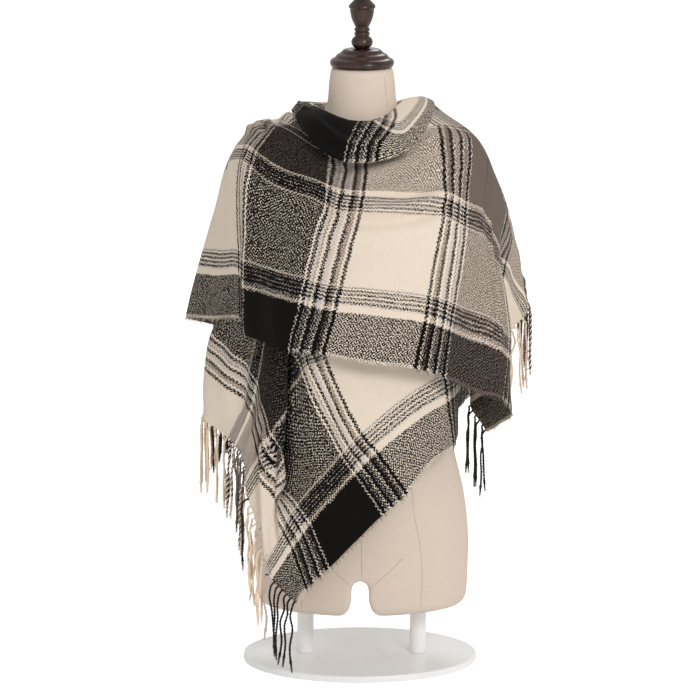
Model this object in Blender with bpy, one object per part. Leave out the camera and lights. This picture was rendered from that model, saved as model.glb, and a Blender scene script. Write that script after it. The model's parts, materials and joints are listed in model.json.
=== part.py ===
"""Blanket scarf worn as a shawl on a limbless dress form.

The scarf is one woven sheet, 200 cm by 60 cm, with a twisted fringe on both short hems.
A place on the cloth is (u, v) in centimetres: u runs along the length from hem A to hem B,
v runs across the width from the outer selvedge (0) to the collar selvedge (60).
The sheet is wound once and a half round the form, so each stretch that shows is a node.

Frame: metres, +Z up, the front of the form looks along -Y, the origin is on the floor
under the middle of the stand.
"""

from collections import namedtuple
from math import cos, pi, sin

import bmesh
import bpy
from mathutils import Vector

CM = 0.01

# ---------------------------------------------------------------- driving sizes
CLOTH = 0.0025          # thickness of the woven wall
SEAM = 0.0004           # clearance between neighbouring pieces
SCARF_LENGTH = 199.7    # cm, hem to hem
SCARF_WIDTH = 60.0      # cm, selvedge to selvedge
STRAND_LENGTH = 0.102   # twisted fringe strand, root to knot
STRAND_WIDTH = 0.0036
STRAND_SPACING = 0.0054 # least distance between strands that hang side by side
STRIP_HEIGHT = 0.0040   # the bound edge that the strands are rooted in
STRAND_ROW = 0.0027     # neighbouring strands hang this far in front of and behind the hem
HEM_GAP = 0.0004        # between the cloth's hem and the bound edge

FORM_FOOT = 8.5         # cm, height of the stub bottoms above the floor
FORM_TOP = 86.9         # cm, top of the neck
POST_RADIUS = 0.012
BASE_THICKNESS = 0.010
BASE_HALF = (0.170, 0.125)

# Woven columns along the length, from hem A: kind and width in cm.
BLOCK = {"cream": 12.4, "black": 10.0, "taupe": 9.5, "lines": 5.25}


# ---------------------------------------------------------------- small helpers
def clear_scene():
    for obj in list(bpy.data.objects):
        bpy.data.objects.remove(obj, do_unlink=True)


def material(name, colour, roughness, metallic=0.0):
    made = bpy.data.materials.new(name)
    made.use_nodes = True
    shader = made.node_tree.nodes["Principled BSDF"]
    shader.inputs["Base Color"].default_value = (*colour, 1.0)
    shader.inputs["Roughness"].default_value = roughness
    shader.inputs["Metallic"].default_value = metallic
    return made


def place(x, forward, z):
    """A point given in centimetres, with its distance forward of the form's middle."""
    return Vector((x, -forward, z)) * CM


def spline(knots, values, t):
    """A smooth curve through values at rising knots (cubic, with mean slopes)."""
    last = len(knots) - 1
    i = 0
    while i < last - 1 and t > knots[i + 1]:
        i += 1

    def slope(k):
        a, b = max(k - 1, 0), min(k + 1, last)
        return (values[b] - values[a]) / (knots[b] - knots[a])

    span = knots[i + 1] - knots[i]
    s = (t - knots[i]) / span
    start, end = values[i], values[i + 1]
    return (
        start * (2 * s**3 - 3 * s**2 + 1)
        + slope(i) * span * (s**3 - 2 * s**2 + s)
        + end * (3 * s**2 - 2 * s**3)
        + slope(i + 1) * span * (s**3 - s**2)
    )


def mix(start, end, share):
    return start + (end - start) * share


def steps(start, end, count):
    return [mix(start, end, i / count) for i in range(count + 1)]


def add_object(name, bm, look):
    mesh = bpy.data.meshes.new(name)
    bm.to_mesh(mesh)
    bm.free()
    mesh.shade_smooth()
    mesh.set_sharp_from_angle(angle=0.8)
    mesh.materials.append(look)
    obj = bpy.data.objects.new(name, mesh)
    bpy.context.scene.collection.objects.link(obj)
    return obj


# ---------------------------------------------------------------- the woven sheet
class Stretch:
    """One stretch of the scarf: sections at rising u, each with points at the same heights v."""

    def __init__(self, heights, sections):
        self.heights = heights
        self.us = [section[0] for section in sections]
        self.sections = [[place(*point) for point in section[1:]] for section in sections]

    def section(self, i, heights):
        """Section number i, worked out at other heights."""
        return [spline(self.heights, self.sections[i], v) for v in heights]

    def refined(self, heights):
        """The same stretch with its sections worked out at other heights."""
        finer = Stretch(heights, ())
        finer.us = list(self.us)
        finer.sections = [self.section(i, heights) for i in range(len(self.us))]
        return finer

    def point(self, u, v):
        across = [spline(self.heights, row, v) for row in self.sections]
        return spline(self.us, across, u)

    def directions(self, u, v, step=0.3):
        """How far a place moves, in metres, for each centimetre of cloth along and across."""
        along = self.point(u + step, v) - self.point(u - step, v)
        across = self.point(u, v + step) - self.point(u, v - step)
        return along / (2 * step), across / (2 * step)

    def normal(self, u, v):
        """Unit direction out of the cloth, away from the form."""
        along, across = self.directions(u, v)
        return along.cross(across).normalized()

    def inset(self, u, v, u_side, v_side):
        """A place moved off the seams that it lies on, by half of the seam's clearance."""
        along, across = self.directions(u, v)
        return (
            u + u_side * SEAM / 2 / max(along.length, 0.001),
            v + v_side * SEAM / 2 / max(across.length, 0.001),
        )


def cloth_node(name, stretch, us, vs, look):
    """A flat double sheet is drawn, a cell for each step of us and vs, then hung in place."""
    bm = bmesh.new()
    bmesh.ops.create_grid(bm, x_segments=len(us) - 1, y_segments=len(vs) - 1, size=0.5)
    drawn = bmesh.ops.extrude_face_region(bm, geom=bm.faces[:])
    for part in drawn["geom"]:
        if isinstance(part, bmesh.types.BMVert):
            part.co.z = 1.0
    bmesh.ops.recalc_face_normals(bm, faces=bm.faces)
    for vert in bm.verts:
        i = round((vert.co.x + 0.5) * (len(us) - 1))
        j = round((vert.co.y + 0.5) * (len(vs) - 1))
        u, v = stretch.inset(us[i], vs[j], end_sign(i, us), end_sign(j, vs))
        side = (vert.co.z - 0.5) * CLOTH
        vert.co = stretch.point(u, v) + stretch.normal(u, v) * side
    return add_object(name, bm, look)


def end_sign(index, values):
    """Which way is inward at the first and the last of the values."""
    return (index == 0) - (index == len(values) - 1)


# Heights v of the points in each section: outer selvedge, lower band, cream row, upper
# band, top of the taupe row, and the leg that turns in toward the neck.
SHELL_V = (0, 8, 16, 23, 34, 44)

# Each row: u, then (x, forward, z) at the heights above, in cm. The sheet goes round the
# right hip, across the back, over the left arm, across the front and over the right arm.
SHELL_ROWS = Stretch(SHELL_V, (
    (32.0, (9.9, 13.4, 32.6), (6.7, 14.0, 40.4), (3.4, 13.9, 47.4),
     (1.2, 13.6, 53.3), (-2.1, 13.1, 61.1), (-5.0, 11.4, 66.5)),
    (38.1, (13.1, 9.6, 34.0), (11.9, 10.7, 42.8), (10.4, 11.5, 50.4),
     (8.9, 12.4, 56.2), (5.7, 12.8, 63.6), (2.3, 11.7, 68.9)),
    (41.5, (13.9, 6.0, 34.1), (13.6, 6.8, 43.0), (13.2, 7.6, 51.0),
     (12.6, 8.6, 57.2), (10.8, 9.8, 66.2), (7.7, 9.0, 72.7)),
    (45.5, (13.8, 0.4, 34.5), (13.9, 0.8, 43.0), (13.8, 1.2, 51.5),
     (14.4, 1.6, 58.8), (15.9, 2.2, 69.0), (15.2, 2.0, 77.0)),
    (50.0, (13.8, -5.2, 35.4), (14.2, -4.8, 44.0), (14.5, -4.4, 52.6),
     (15.2, -3.8, 60.2), (16.8, -2.8, 71.2), (14.6, -2.6, 78.4)),
    (55.0, (15.7, -10.4, 36.4), (15.9, -9.2, 45.6), (16.2, -8.2, 54.4),
     (16.3, -7.2, 62.2), (15.8, -5.2, 75.4), (12.2, -4.2, 79.6)),
    (61.0, (17.4, -13.8, 37.0), (16.2, -12.6, 46.5), (15.2, -11.6, 55.5),
     (14.2, -10.4, 64.0), (11.8, -7.0, 77.8), (9.0, -5.6, 79.4)),
    (68.0, (10.6, -16.2, 38.5), (9.6, -15.0, 47.5), (8.7, -13.8, 56.5),
     (7.9, -12.4, 65.0), (7.2, -8.7, 77.4), (6.2, -7.2, 79.2)),
    (78.0, (4.2, -14.3, 40.0), (3.8, -13.7, 49.0), (3.4, -13.0, 57.5),
     (3.0, -11.8, 66.0), (2.6, -8.9, 77.0), (2.3, -7.6, 79.2)),
    (88.0, (-2.2, -16.6, 41.5), (-2.2, -15.3, 50.5), (-2.2, -13.9, 58.5),
     (-2.3, -12.3, 66.5), (-2.4, -8.9, 77.0), (-2.1, -7.5, 79.2)),
    (98.0, (-9.6, -15.2, 43.5), (-8.9, -14.2, 52.0), (-8.2, -13.2, 60.0),
     (-7.6, -11.8, 67.5), (-6.8, -8.8, 77.3), (-5.8, -6.7, 79.4)),
    (107.0, (-15.2, -14.6, 45.2), (-14.0, -13.4, 53.6), (-12.8, -12.2, 61.2),
     (-11.8, -10.8, 68.5), (-10.2, -7.9, 77.8), (-8.4, -5.3, 79.9)),
    (115.0, (-20.6, -11.2, 47.2), (-18.9, -10.8, 55.8), (-17.3, -9.8, 63.2),
     (-15.9, -8.4, 70.4), (-12.8, -6.4, 78.0), (-10.0, -4.4, 80.4)),
    (123.4, (-25.2, -4.0, 50.0), (-22.9, -5.0, 58.1), (-20.8, -5.0, 65.4),
     (-18.8, -4.0, 72.3), (-14.6, -4.0, 78.4), (-11.6, -3.2, 80.3)),
    (129.6, (-21.3, 1.5, 50.9), (-19.8, 0.6, 58.9), (-19.0, 0.6, 66.6),
     (-18.3, 0.0, 73.8), (-14.6, -2.0, 78.9), (-11.6, -1.4, 80.4)),
    (135.8, (-17.2, 5.6, 51.7), (-17.2, 5.6, 59.9), (-17.6, 4.6, 67.2),
     (-17.3, 3.4, 74.6), (-13.9, -0.4, 79.1), (-10.9, -0.2, 80.4)),
    (141.05, (-16.0, 10.6, 50.5), (-16.1, 10.2, 59.1), (-16.3, 8.6, 67.2),
     (-15.9, 6.2, 74.6), (-12.6, 2.4, 79.0), (-9.7, 2.0, 80.3)),
    (146.0, (-12.9, 14.0, 49.9), (-12.6, 13.5, 58.8), (-12.5, 12.0, 66.2),
     (-12.3, 9.5, 72.6), (-9.9, 5.5, 78.2), (-7.2, 4.6, 79.8)),
    (151.05, (-9.9, 16.0, 49.3), (-8.9, 15.5, 58.2), (-8.1, 14.4, 65.4),
     (-7.3, 12.5, 71.6), (-5.9, 8.9, 76.2), (-4.3, 7.2, 78.3)),
    (156.3, (-5.3, 17.3, 49.0), (-3.7, 17.0, 57.9), (-2.8, 16.0, 64.8),
     (-2.1, 14.0, 70.6), (-1.9, 10.4, 75.4), (-1.4, 8.4, 77.9)),
    (162.5, (1.0, 17.8, 47.9), (3.0, 17.3, 57.6), (3.9, 16.2, 64.5),
     (4.6, 14.3, 70.4), (4.4, 10.0, 76.1), (3.4, 8.0, 78.2)),
    (168.7, (7.8, 16.8, 46.9), (9.3, 16.0, 56.8), (10.3, 14.8, 63.8),
     (11.0, 12.8, 70.1), (9.9, 7.2, 78.2), (9.3, 5.6, 79.2)),
    (173.95, (12.5, 14.5, 44.8), (13.6, 14.0, 55.2), (14.4, 12.8, 62.4),
     (14.7, 10.5, 69.0), (15.2, 3.0, 77.0), (12.9, 2.4, 79.0)),
    (178.7, (16.6, 11.2, 42.2), (17.7, 11.2, 52.9), (17.9, 9.8, 60.5),
     (17.3, 7.8, 67.2), (17.8, 1.6, 74.5), (14.9, -1.4, 79.0)),
    (183.45, (20.1, 7.6, 40.6), (20.8, 7.0, 48.6), (19.9, 7.2, 55.4),
     (18.9, 6.8, 61.5), (20.4, -1.0, 67.2), (15.9, -5.2, 76.9)),
))

# The end over the right arm: the same heights, and the selvedge side beside the collar.
END_V = (0, 8, 16, 23, 34, 44, 54)
END_ROWS = Stretch(END_V, (
    (162.5, (1.0, 17.8, 47.9), (3.0, 17.3, 57.6), (3.9, 16.2, 64.5),
     (4.6, 14.3, 70.4), (4.4, 10.0, 76.1), (3.4, 8.0, 78.2), (2.9, 7.0, 79.0)),
    (168.7, (7.8, 16.8, 46.9), (9.3, 16.0, 56.8), (10.3, 14.8, 63.8),
     (11.0, 12.8, 70.1), (9.9, 7.2, 78.2), (9.3, 5.6, 79.2), (9.6, 4.6, 79.3)),
    (173.95, (12.5, 14.5, 44.8), (13.6, 14.0, 55.2), (14.4, 12.8, 62.4),
     (14.7, 10.5, 69.0), (15.2, 3.0, 77.0), (12.9, 2.4, 79.0), (9.9, 2.6, 79.7)),
    (178.7, (16.6, 11.2, 42.2), (17.7, 11.2, 52.9), (17.9, 9.8, 60.5),
     (17.3, 7.8, 67.2), (17.8, 1.6, 74.5), (14.9, -1.4, 79.0), (10.0, -1.2, 80.2)),
    (183.45, (20.1, 7.6, 40.6), (20.8, 7.0, 48.6), (19.9, 7.2, 55.4),
     (18.9, 6.8, 61.5), (20.4, -1.0, 67.2), (15.9, -5.2, 76.9), (10.3, -5.0, 80.0)),
    (188.7, (21.7, 2.6, 37.3), (20.8, 2.2, 46.0), (20.3, 2.6, 53.8),
     (20.6, 2.4, 58.6), (21.6, -3.8, 63.4), (17.6, -8.4, 73.6), (11.2, -8.4, 78.8)),
    (194.0, (20.2, -0.4, 35.0), (19.2, -2.6, 42.2), (20.7, 0.0, 51.4),
     (22.0, -0.4, 55.4), (22.5, -6.6, 60.2), (18.8, -11.0, 69.8), (12.2, -11.0, 76.4)),
    (199.7, (18.2, -4.0, 33.0), (16.2, -6.4, 38.6), (21.4, -3.2, 47.6),
     (23.9, -3.6, 51.2), (22.9, -9.4, 57.2), (19.2, -12.8, 65.2), (13.0, -12.6, 73.2)),
))

# The inner layer in front, from hem A up and across under the outer layer.
UNDER_V = (0, 6, 10, 16, 21, 25, 30, 35, 39, 45, 50, 60)
UNDER_ROWS = Stretch(UNDER_V, (
    (0.0, (-9.0, 14.0, 12.4), (-12.5, 13.5, 15.6), (-13.2, 13.0, 18.3), (-14.5, 12.0, 22.5),
     (-15.8, 10.7, 26.4), (-16.3, 9.5, 29.2), (-16.6, 8.4, 31.5), (-17.5, 7.0, 33.3),
     (-18.9, 5.3, 34.3), (-20.9, 2.8, 35.4), (-22.6, -0.4, 36.9), (-22.0, -8.0, 39.6)),
    (5.2, (-7.7, 14.5, 14.4), (-9.7, 14.2, 20.0), (-11.0, 14.0, 23.0), (-12.6, 12.8, 27.1),
     (-13.9, 11.5, 30.1), (-14.8, 10.3, 32.9), (-15.0, 9.2, 35.6), (-15.4, 8.4, 38.5),
     (-16.6, 7.0, 40.0), (-19.3, 4.0, 42.0), (-22.0, 0.2, 43.3), (-21.6, -7.5, 46.0)),
    (10.45, (-4.3, 15.0, 17.9), (-6.9, 15.0, 24.0), (-8.8, 14.8, 26.9), (-10.7, 13.5, 29.6),
     (-12.1, 12.0, 33.0), (-13.0, 10.4, 36.6), (-13.7, 9.3, 39.8), (-14.4, 8.8, 42.9),
     (-15.6, 7.8, 44.8), (-17.9, 5.0, 46.8), (-21.2, 0.4, 48.6), (-20.4, -7.0, 52.0)),
    (20.45, (2.3, 15.5, 26.2), (-0.7, 15.5, 31.3), (-2.8, 15.3, 34.2), (-5.7, 14.3, 39.8),
     (-8.0, 13.2, 45.6), (-9.3, 12.3, 48.6), (-10.7, 11.2, 51.6), (-11.9, 10.2, 54.2),
     (-12.8, 9.2, 56.0), (-14.2, 7.2, 58.9), (-15.0, 5.0, 61.2), (-16.0, 0.6, 65.2)),
    (25.7, (6.1, 15.2, 29.5), (2.7, 15.3, 34.6), (0.2, 15.1, 37.6), (-2.6, 14.7, 43.0),
     (-4.6, 14.2, 47.8), (-5.9, 13.7, 51.1), (-7.3, 13.0, 54.5), (-8.4, 12.2, 57.3),
     (-9.4, 11.4, 59.4), (-10.8, 10.0, 62.6), (-11.8, 8.6, 65.0), (-13.4, 5.0, 69.0)),
    (32.0, (9.9, 13.4, 32.6), (7.6, 13.9, 38.6), (5.8, 14.0, 42.2), (3.4, 13.9, 47.4),
     (1.9, 13.7, 51.6), (0.7, 13.5, 54.9), (-0.9, 13.3, 58.6), (-2.4, 13.0, 61.6),
     (-3.6, 12.5, 63.8), (-5.2, 11.3, 66.9), (-6.6, 10.2, 69.2), (-8.6, 7.6, 72.6)),
    (38.1, (13.1, 9.6, 34.0), (12.2, 10.4, 40.6), (11.5, 10.9, 45.0), (10.4, 11.5, 50.4),
     (9.4, 12.1, 54.6), (8.4, 12.6, 57.8), (6.9, 12.9, 61.4), (5.4, 12.8, 64.2),
     (4.1, 12.4, 66.2), (2.0, 11.6, 69.4), (0.4, 10.6, 71.4), (-2.4, 8.6, 74.4)),
    (41.5, (13.9, 6.0, 34.1), (13.7, 6.6, 40.8), (13.5, 7.0, 45.0), (13.2, 7.6, 51.0),
     (12.8, 8.3, 55.4), (12.3, 8.8, 59.0), (11.6, 9.5, 63.0), (10.6, 9.8, 67.0),
     (9.4, 9.6, 70.0), (7.4, 8.8, 73.2), (5.4, 8.2, 75.4), (2.0, 6.8, 78.0)),
))

# Stretches that meet at a seam share their heights there, and the section on the seam.
FINE_V = (0, 6, 10, 16, 21, 25, 30, 34, 39)
UNDER = UNDER_ROWS.refined(FINE_V + (45, 50, 60))
SHELL = SHELL_ROWS.refined(FINE_V + (44,))
END = END_ROWS.refined(FINE_V + (44, 54))
SHELL.sections[1] = UNDER_ROWS.section(UNDER_ROWS.us.index(38.1), FINE_V + (44,))

# The collar: u, then (x, forward, z) of the crease under it, its neck side, the top of
# its fold, and the selvedge of the part that is turned out. It closes on itself at the
# right of the neck, so its last rows repeat the first.
Collar = namedtuple("Collar", "u crease neck_side fold selvedge")
COLLAR = (
    Collar(44.0, (9.4, 6.6, 78.6), (5.1, 2.5, 80.9), (5.6, 2.9, 81.9), (9.2, 8.4, 79.4)),
    Collar(51.0, (9.0, 1.4, 80.0), (5.8, -0.2, 81.1), (6.3, -0.2, 82.1), (10.4, 2.4, 81.0)),
    Collar(56.0, (8.7, -4.2, 80.0), (5.7, -2.9, 80.9), (6.3, -3.2, 81.7), (10.2, -4.8, 81.3)),
    Collar(68.0, (6.9, -8.4, 77.9), (3.8, -6.2, 79.9), (4.3, -6.9, 80.8), (7.4, -11.2, 77.4)),
    Collar(81.0, (0.4, -8.6, 77.4), (0.2, -6.6, 79.8), (0.2, -7.4, 80.8), (0.2, -12.3, 76.2)),
    Collar(95.0, (-5.3, -8.5, 77.7), (-3.9, -6.0, 79.9), (-4.6, -6.7, 80.8), (-8.0, -10.9, 76.9)),
    Collar(109.0, (-10.5, -7.1, 78.4), (-5.6, -3.8, 80.2), (-6.7, -4.3, 81.3), (-10.4, -7.4, 80.2)),
    Collar(123.4, (-14.2, -3.9, 78.9), (-5.9, -1.2, 80.8), (-7.4, -1.6, 81.8), (-10.4, -2.6, 81.5)),
    Collar(134.0, (-13.8, -0.9, 79.6), (-5.6, 1.2, 80.8), (-7.0, 1.0, 81.9), (-10.0, 1.8, 81.6)),
    Collar(141.0, (-12.2, 2.3, 79.5), (-4.9, 2.8, 80.6), (-6.1, 3.0, 81.6), (-9.3, 5.4, 80.5)),
    Collar(146.0, (-9.6, 5.2, 78.7), (-4.0, 4.5, 80.2), (-4.9, 5.0, 81.2), (-7.5, 8.8, 78.6)),
    Collar(150.5, (-6.1, 8.2, 76.9), (-2.6, 5.9, 79.5), (-3.1, 6.5, 80.6), (-5.2, 11.4, 76.5)),
    Collar(156.0, (-2.1, 9.9, 75.9), (-0.8, 6.3, 79.1), (-0.9, 7.0, 80.1), (-2.0, 13.0, 75.3)),
    Collar(161.0, (2.9, 9.6, 76.3), (1.6, 6.2, 79.2), (1.8, 6.9, 80.2), (2.6, 13.1, 75.5)),
    Collar(165.0, (6.7, 8.4, 77.3), (3.9, 4.8, 80.0), (4.3, 5.4, 81.0), (6.5, 12.0, 76.8)),
    Collar(168.7, (9.4, 6.6, 78.6), (5.1, 2.5, 80.9), (5.6, 2.9, 81.9), (9.2, 8.4, 79.4)),
    Collar(172.0, (9.0, 1.4, 80.0), (5.8, -0.2, 81.1), (6.3, -0.2, 82.1), (10.4, 2.4, 81.0)),
    Collar(177.0, (8.7, -4.2, 80.0), (5.7, -2.9, 80.9), (6.3, -3.2, 81.7), (10.2, -4.8, 81.3)),
    Collar(189.0, (6.9, -8.4, 77.9), (3.8, -6.2, 79.9), (4.3, -6.9, 80.8), (7.4, -11.2, 77.4)),
)
COLLAR_V = (34, 41, 47, 50, 55, 60)


def collar_stretch(rows):
    """The collar's sections, with the points between the named ones worked out."""
    sections = []
    for row in rows:
        crease, neck_side, fold, selvedge = (
            Vector(p) for p in (row.crease, row.neck_side, row.fold, row.selvedge)
        )
        leg = crease.lerp(neck_side, 0.55) - Vector((0.0, 0.0, 0.25))
        outward = Vector((selvedge.x, selvedge.y, 0.0)).normalized()
        flap = fold.lerp(selvedge, 0.5) + outward * 0.45 + Vector((0.0, 0.0, 0.45))
        sections.append((row.u, crease, leg, neck_side, fold, flap, selvedge))
    return Stretch(COLLAR_V, sections)


# ---------------------------------------------------------------- fringe
class Hem:
    """A short hem of a cloth node, as the straight runs between that node's own corners."""

    def __init__(self, stretch, u, outward, vs):
        self.hung = []
        self.vs, self.points, self.normals, inner = [], [], [], []
        for j, v in enumerate(vs):
            edge_u, edge_v = stretch.inset(u, v, -outward, end_sign(j, vs))
            self.vs.append(edge_v)
            self.points.append(stretch.point(edge_u, edge_v))
            self.normals.append(stretch.normal(edge_u, edge_v))
            inner.append(stretch.point(edge_u - outward, edge_v))
        self.away = []
        last = len(vs) - 1
        for i, (point, normal) in enumerate(zip(self.points, self.normals)):
            run = self.points[min(i + 1, last)] - self.points[max(i - 1, 0)]
            away = normal.cross(run).normalized()
            self.away.append(away if away.dot(point - inner[i]) > 0 else -away)

    def at(self, v):
        """Point, normal and the direction away from the cloth at a place on the hem."""
        i = 0
        while i < len(self.vs) - 2 and v > self.vs[i + 1]:
            i += 1
        share = (v - self.vs[i]) / (self.vs[i + 1] - self.vs[i])
        return (
            self.points[i].lerp(self.points[i + 1], share),
            self.normals[i].lerp(self.normals[i + 1], share).normalized(),
            self.away[i].lerp(self.away[i + 1], share).normalized(),
        )

    def hanging_line(self, v, row):
        """Where a strand leaves the strip, and the point that it hangs below."""
        point, normal, away = self.at(v)
        root = point + away * (HEM_GAP + STRIP_HEIGHT)
        level = Vector((normal.x, normal.y, 0.0)).normalized()
        return root, root + away * 0.0045 + level * (STRAND_ROW * row), level * (STRAND_ROW * row)

    def next_strand(self, v, end):
        """The next place from v on that is clear of the strands that already hang there."""
        row = (-1, 1)[len(self.hung) % 2]
        while v < end:
            line = self.hanging_line(v, row)[1]
            if all((line - other).xy.length > STRAND_SPACING for other in self.hung):
                self.hung.append(line)
                return v, row
            v += 0.1
        return None, row


def fringe_node(name, hem, v_range, look, pitch=1.0):
    """Strands hanging from a narrow strip along a hem: the strip's faces are drawn out."""
    half = STRAND_WIDTH / 2 / CM
    margin = SEAM / CM
    strands = []
    v, row = hem.next_strand(v_range[0] + margin + half + 0.1, v_range[1] - margin - half - 0.1)
    while v is not None:
        strands.append((v, row))
        v, row = hem.next_strand(v + pitch, v_range[1] - margin - half - 0.1)
    stops = [v_range[0] + margin]
    for v, _ in strands:
        stops += [v - half, v + half]
    stops.append(v_range[1] - margin)

    bm = bmesh.new()
    rings = []
    for v in stops:
        point, normal, away = hem.at(v)
        near = point + away * HEM_GAP
        far = near + away * STRIP_HEIGHT
        side = normal * (CLOTH / 2)
        rings.append([bm.verts.new(p) for p in (near + side, near - side, far - side, far + side)])
    roots = []
    for i, (a, b) in enumerate(zip(rings, rings[1:])):
        for k in range(4):
            face = bm.faces.new((a[k], a[(k + 1) % 4], b[(k + 1) % 4], b[k]))
            if k == 2 and i % 2 == 1:
                roots.append((face, *strands[i // 2]))
    bm.faces.new(rings[0][::-1])
    bm.faces.new(rings[-1])
    bmesh.ops.recalc_face_normals(bm, faces=bm.faces)
    for number, (face, v, row) in enumerate(roots):
        draw_strand(bm, face, hem, v, row, (1.0, 0.95, 0.98)[number % 3])
    return add_object(name, bm, look)


def draw_strand(bm, face, hem, v, row, share):
    """One strand leaves the hem, bends over and hangs. Neighbours hang in two rows."""
    _, normal, away = hem.at(v)
    root, line, offset = hem.hanging_line(v, row)
    down = Vector((0.0, 0.0, -1.0))
    length = STRAND_LENGTH * share
    path = [
        root,
        root.lerp(line, 0.6) + offset * 0.4 + down * 0.003,
        line + down * 0.016,
        line + down * length * 0.55,
        line + down * length,
    ]
    half = STRAND_WIDTH / 2
    signs = []
    side = away.cross(normal)
    for vert in face.verts:
        offset = vert.co - root
        signs.append((1 if offset.dot(normal) > 0 else -1, 1 if offset.dot(side) > 0 else -1))
    for i in range(1, len(path)):
        ahead = path[min(i + 1, len(path) - 1)] - path[i - 1]
        tangent = ahead.normalized()
        flat = (normal - tangent * normal.dot(tangent)).normalized()
        side = tangent.cross(flat)
        face = bmesh.ops.extrude_discrete_faces(bm, faces=[face])["faces"][0]
        for vert, (out, across) in zip(face.verts, signs):
            vert.co = path[i] + flat * (out * half) + side * (across * half)


# ---------------------------------------------------------------- dress form
Ring = namedtuple("Ring", "z half_width front back")
FORM_RINGS = (
    Ring(8.5, 13.9, 7.8, 8.8),
    Ring(8.9, 14.7, 8.7, 9.7),
    Ring(9.9, 15.2, 9.3, 10.2),
    Ring(13.5, 15.4, 9.6, 10.8),
    Ring(18.5, 15.5, 10.0, 11.3),
    Ring(25.0, 14.8, 10.4, 10.8),
    Ring(32.0, 13.2, 10.1, 9.2),
    Ring(41.0, 11.8, 8.8, 7.6),
    Ring(49.0, 11.2, 8.4, 7.2),
    Ring(56.0, 12.2, 9.4, 8.0),
    Ring(63.5, 13.6, 11.0, 8.8),
    Ring(69.5, 15.6, 9.54, 8.9),
    Ring(74.0, 16.6, 7.2, 8.2),
    Ring(76.0, 16.2, 6.2, 7.5),
    Ring(77.4, 14.0, 5.8, 6.8),
    Ring(78.4, 10.6, 5.4, 6.2),
    Ring(79.3, 7.4, 5.1, 5.6),
    Ring(80.5, 5.40, 4.92, 5.1),
    Ring(82.2, 4.86, 4.76, 4.8),
    Ring(84.5, 4.7, 4.6, 4.6),
    Ring(FORM_TOP, 4.35, 4.35, 4.35),
)
FORM_SIDES = 36
FORM_X = 0.25   # cm, the form stands this far right of the origin


def form_body(look):
    """The covered torso: oval rings bridged from the leg stubs to the neck."""
    bm = bmesh.new()
    loops = []
    for ring in FORM_RINGS:
        points = []
        for k in range(FORM_SIDES):
            angle = 2 * pi * k / FORM_SIDES
            depth = ring.front if cos(angle) > 0 else ring.back
            points.append(place(FORM_X + ring.half_width * sin(angle), depth * cos(angle), ring.z))
        verts = [bm.verts.new(p) for p in points]
        loops.append([bm.edges.new((a, b)) for a, b in zip(verts, verts[1:] + verts[:1])])
    for lower, upper in zip(loops, loops[1:]):
        bmesh.ops.bridge_loops(bm, edges=lower + upper)
    for loop in (loops[0], loops[-1]):
        bmesh.ops.contextual_create(bm, geom=loop)
    bmesh.ops.recalc_face_normals(bm, faces=bm.faces)
    body = add_object("form_body", bm, look)
    arch = arch_cutter()
    cut = body.modifiers.new("Arch between the leg stubs", "BOOLEAN")
    cut.operation = "DIFFERENCE"
    cut.object = arch
    return body


def arch_cutter():
    """A tunnel from front to back whose mouth widens at the foot of the stubs."""
    half, top, flare = 1.25, 13.4, 1.6
    outline = [(-half - flare, 8.0), (-half - flare * 0.75, 8.7), (-half - flare * 0.25, 9.6)]
    outline += [(-half, 11.0)]
    outline += [(-half * cos(a), top - half + half * sin(a)) for a in steps(0, pi, 10)][1:-1]
    outline += [(half, 11.0), (half + flare * 0.25, 9.6)]
    outline += [(half + flare * 0.75, 8.7), (half + flare, 8.0)]
    bm = bmesh.new()
    verts = [bm.verts.new(place(FORM_X - 0.25 + x, 16.0, z)) for x, z in outline]
    face = bm.faces.new(verts)
    drawn = bmesh.ops.extrude_face_region(bm, geom=[face])
    moved = [v for v in drawn["geom"] if isinstance(v, bmesh.types.BMVert)]
    bmesh.ops.translate(bm, verts=moved, vec=(0.0, 0.32, 0.0))
    bmesh.ops.recalc_face_normals(bm, faces=bm.faces)
    mesh = bpy.data.meshes.new("arch_cutter")
    bm.to_mesh(mesh)
    bm.free()
    cutter = bpy.data.objects.new("arch_cutter", mesh)
    bpy.context.scene.collection.objects.link(cutter)
    cutter.hide_render = True
    cutter.display_type = "WIRE"
    return cutter


def turned(name, profile, base_z, look, sides=28):
    """A turned piece: (radius, height) in cm spun round the neck's axis."""
    bm = bmesh.new()
    verts = [bm.verts.new(place(FORM_X + r, 0.0, base_z + z)) for r, z in profile]
    edges = [bm.edges.new(pair) for pair in zip(verts, verts[1:])]
    axis = place(FORM_X, 0.0, base_z)
    bmesh.ops.spin(
        bm, geom=verts + edges, cent=axis, axis=(0, 0, 1), angle=2 * pi, steps=sides, use_merge=True
    )
    bmesh.ops.remove_doubles(bm, verts=bm.verts, dist=1e-6)
    bmesh.ops.recalc_face_normals(bm, faces=bm.faces)
    return add_object(name, bm, look)


CAP_PROFILE = (
    (0.0, 0.0), (4.35, 0.0), (4.5, 0.25), (4.55, 0.65), (4.35, 1.0), (3.95, 1.2), (3.8, 1.3),
    (3.55, 1.65), (3.15, 1.85), (3.0, 1.95), (2.7, 2.3), (2.3, 2.5), (0.0, 2.5),
)
FINIAL_PROFILE = (
    (0.0, 0.0), (1.0, 0.0), (1.45, 0.45), (1.55, 0.95), (1.35, 1.45), (0.95, 1.75),
    (1.1, 1.95), (1.1, 2.2), (0.9, 2.35), (1.1, 2.5), (1.1, 2.75), (0.9, 2.95),
    (1.15, 3.4), (1.5, 4.2), (1.68, 5.1), (1.72, 5.6), (1.9, 5.75), (1.88, 6.05),
    (1.55, 6.4), (1.05, 6.9), (0.85, 7.4), (0.9, 8.0), (0.75, 8.5), (0.0, 8.7),
)


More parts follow.
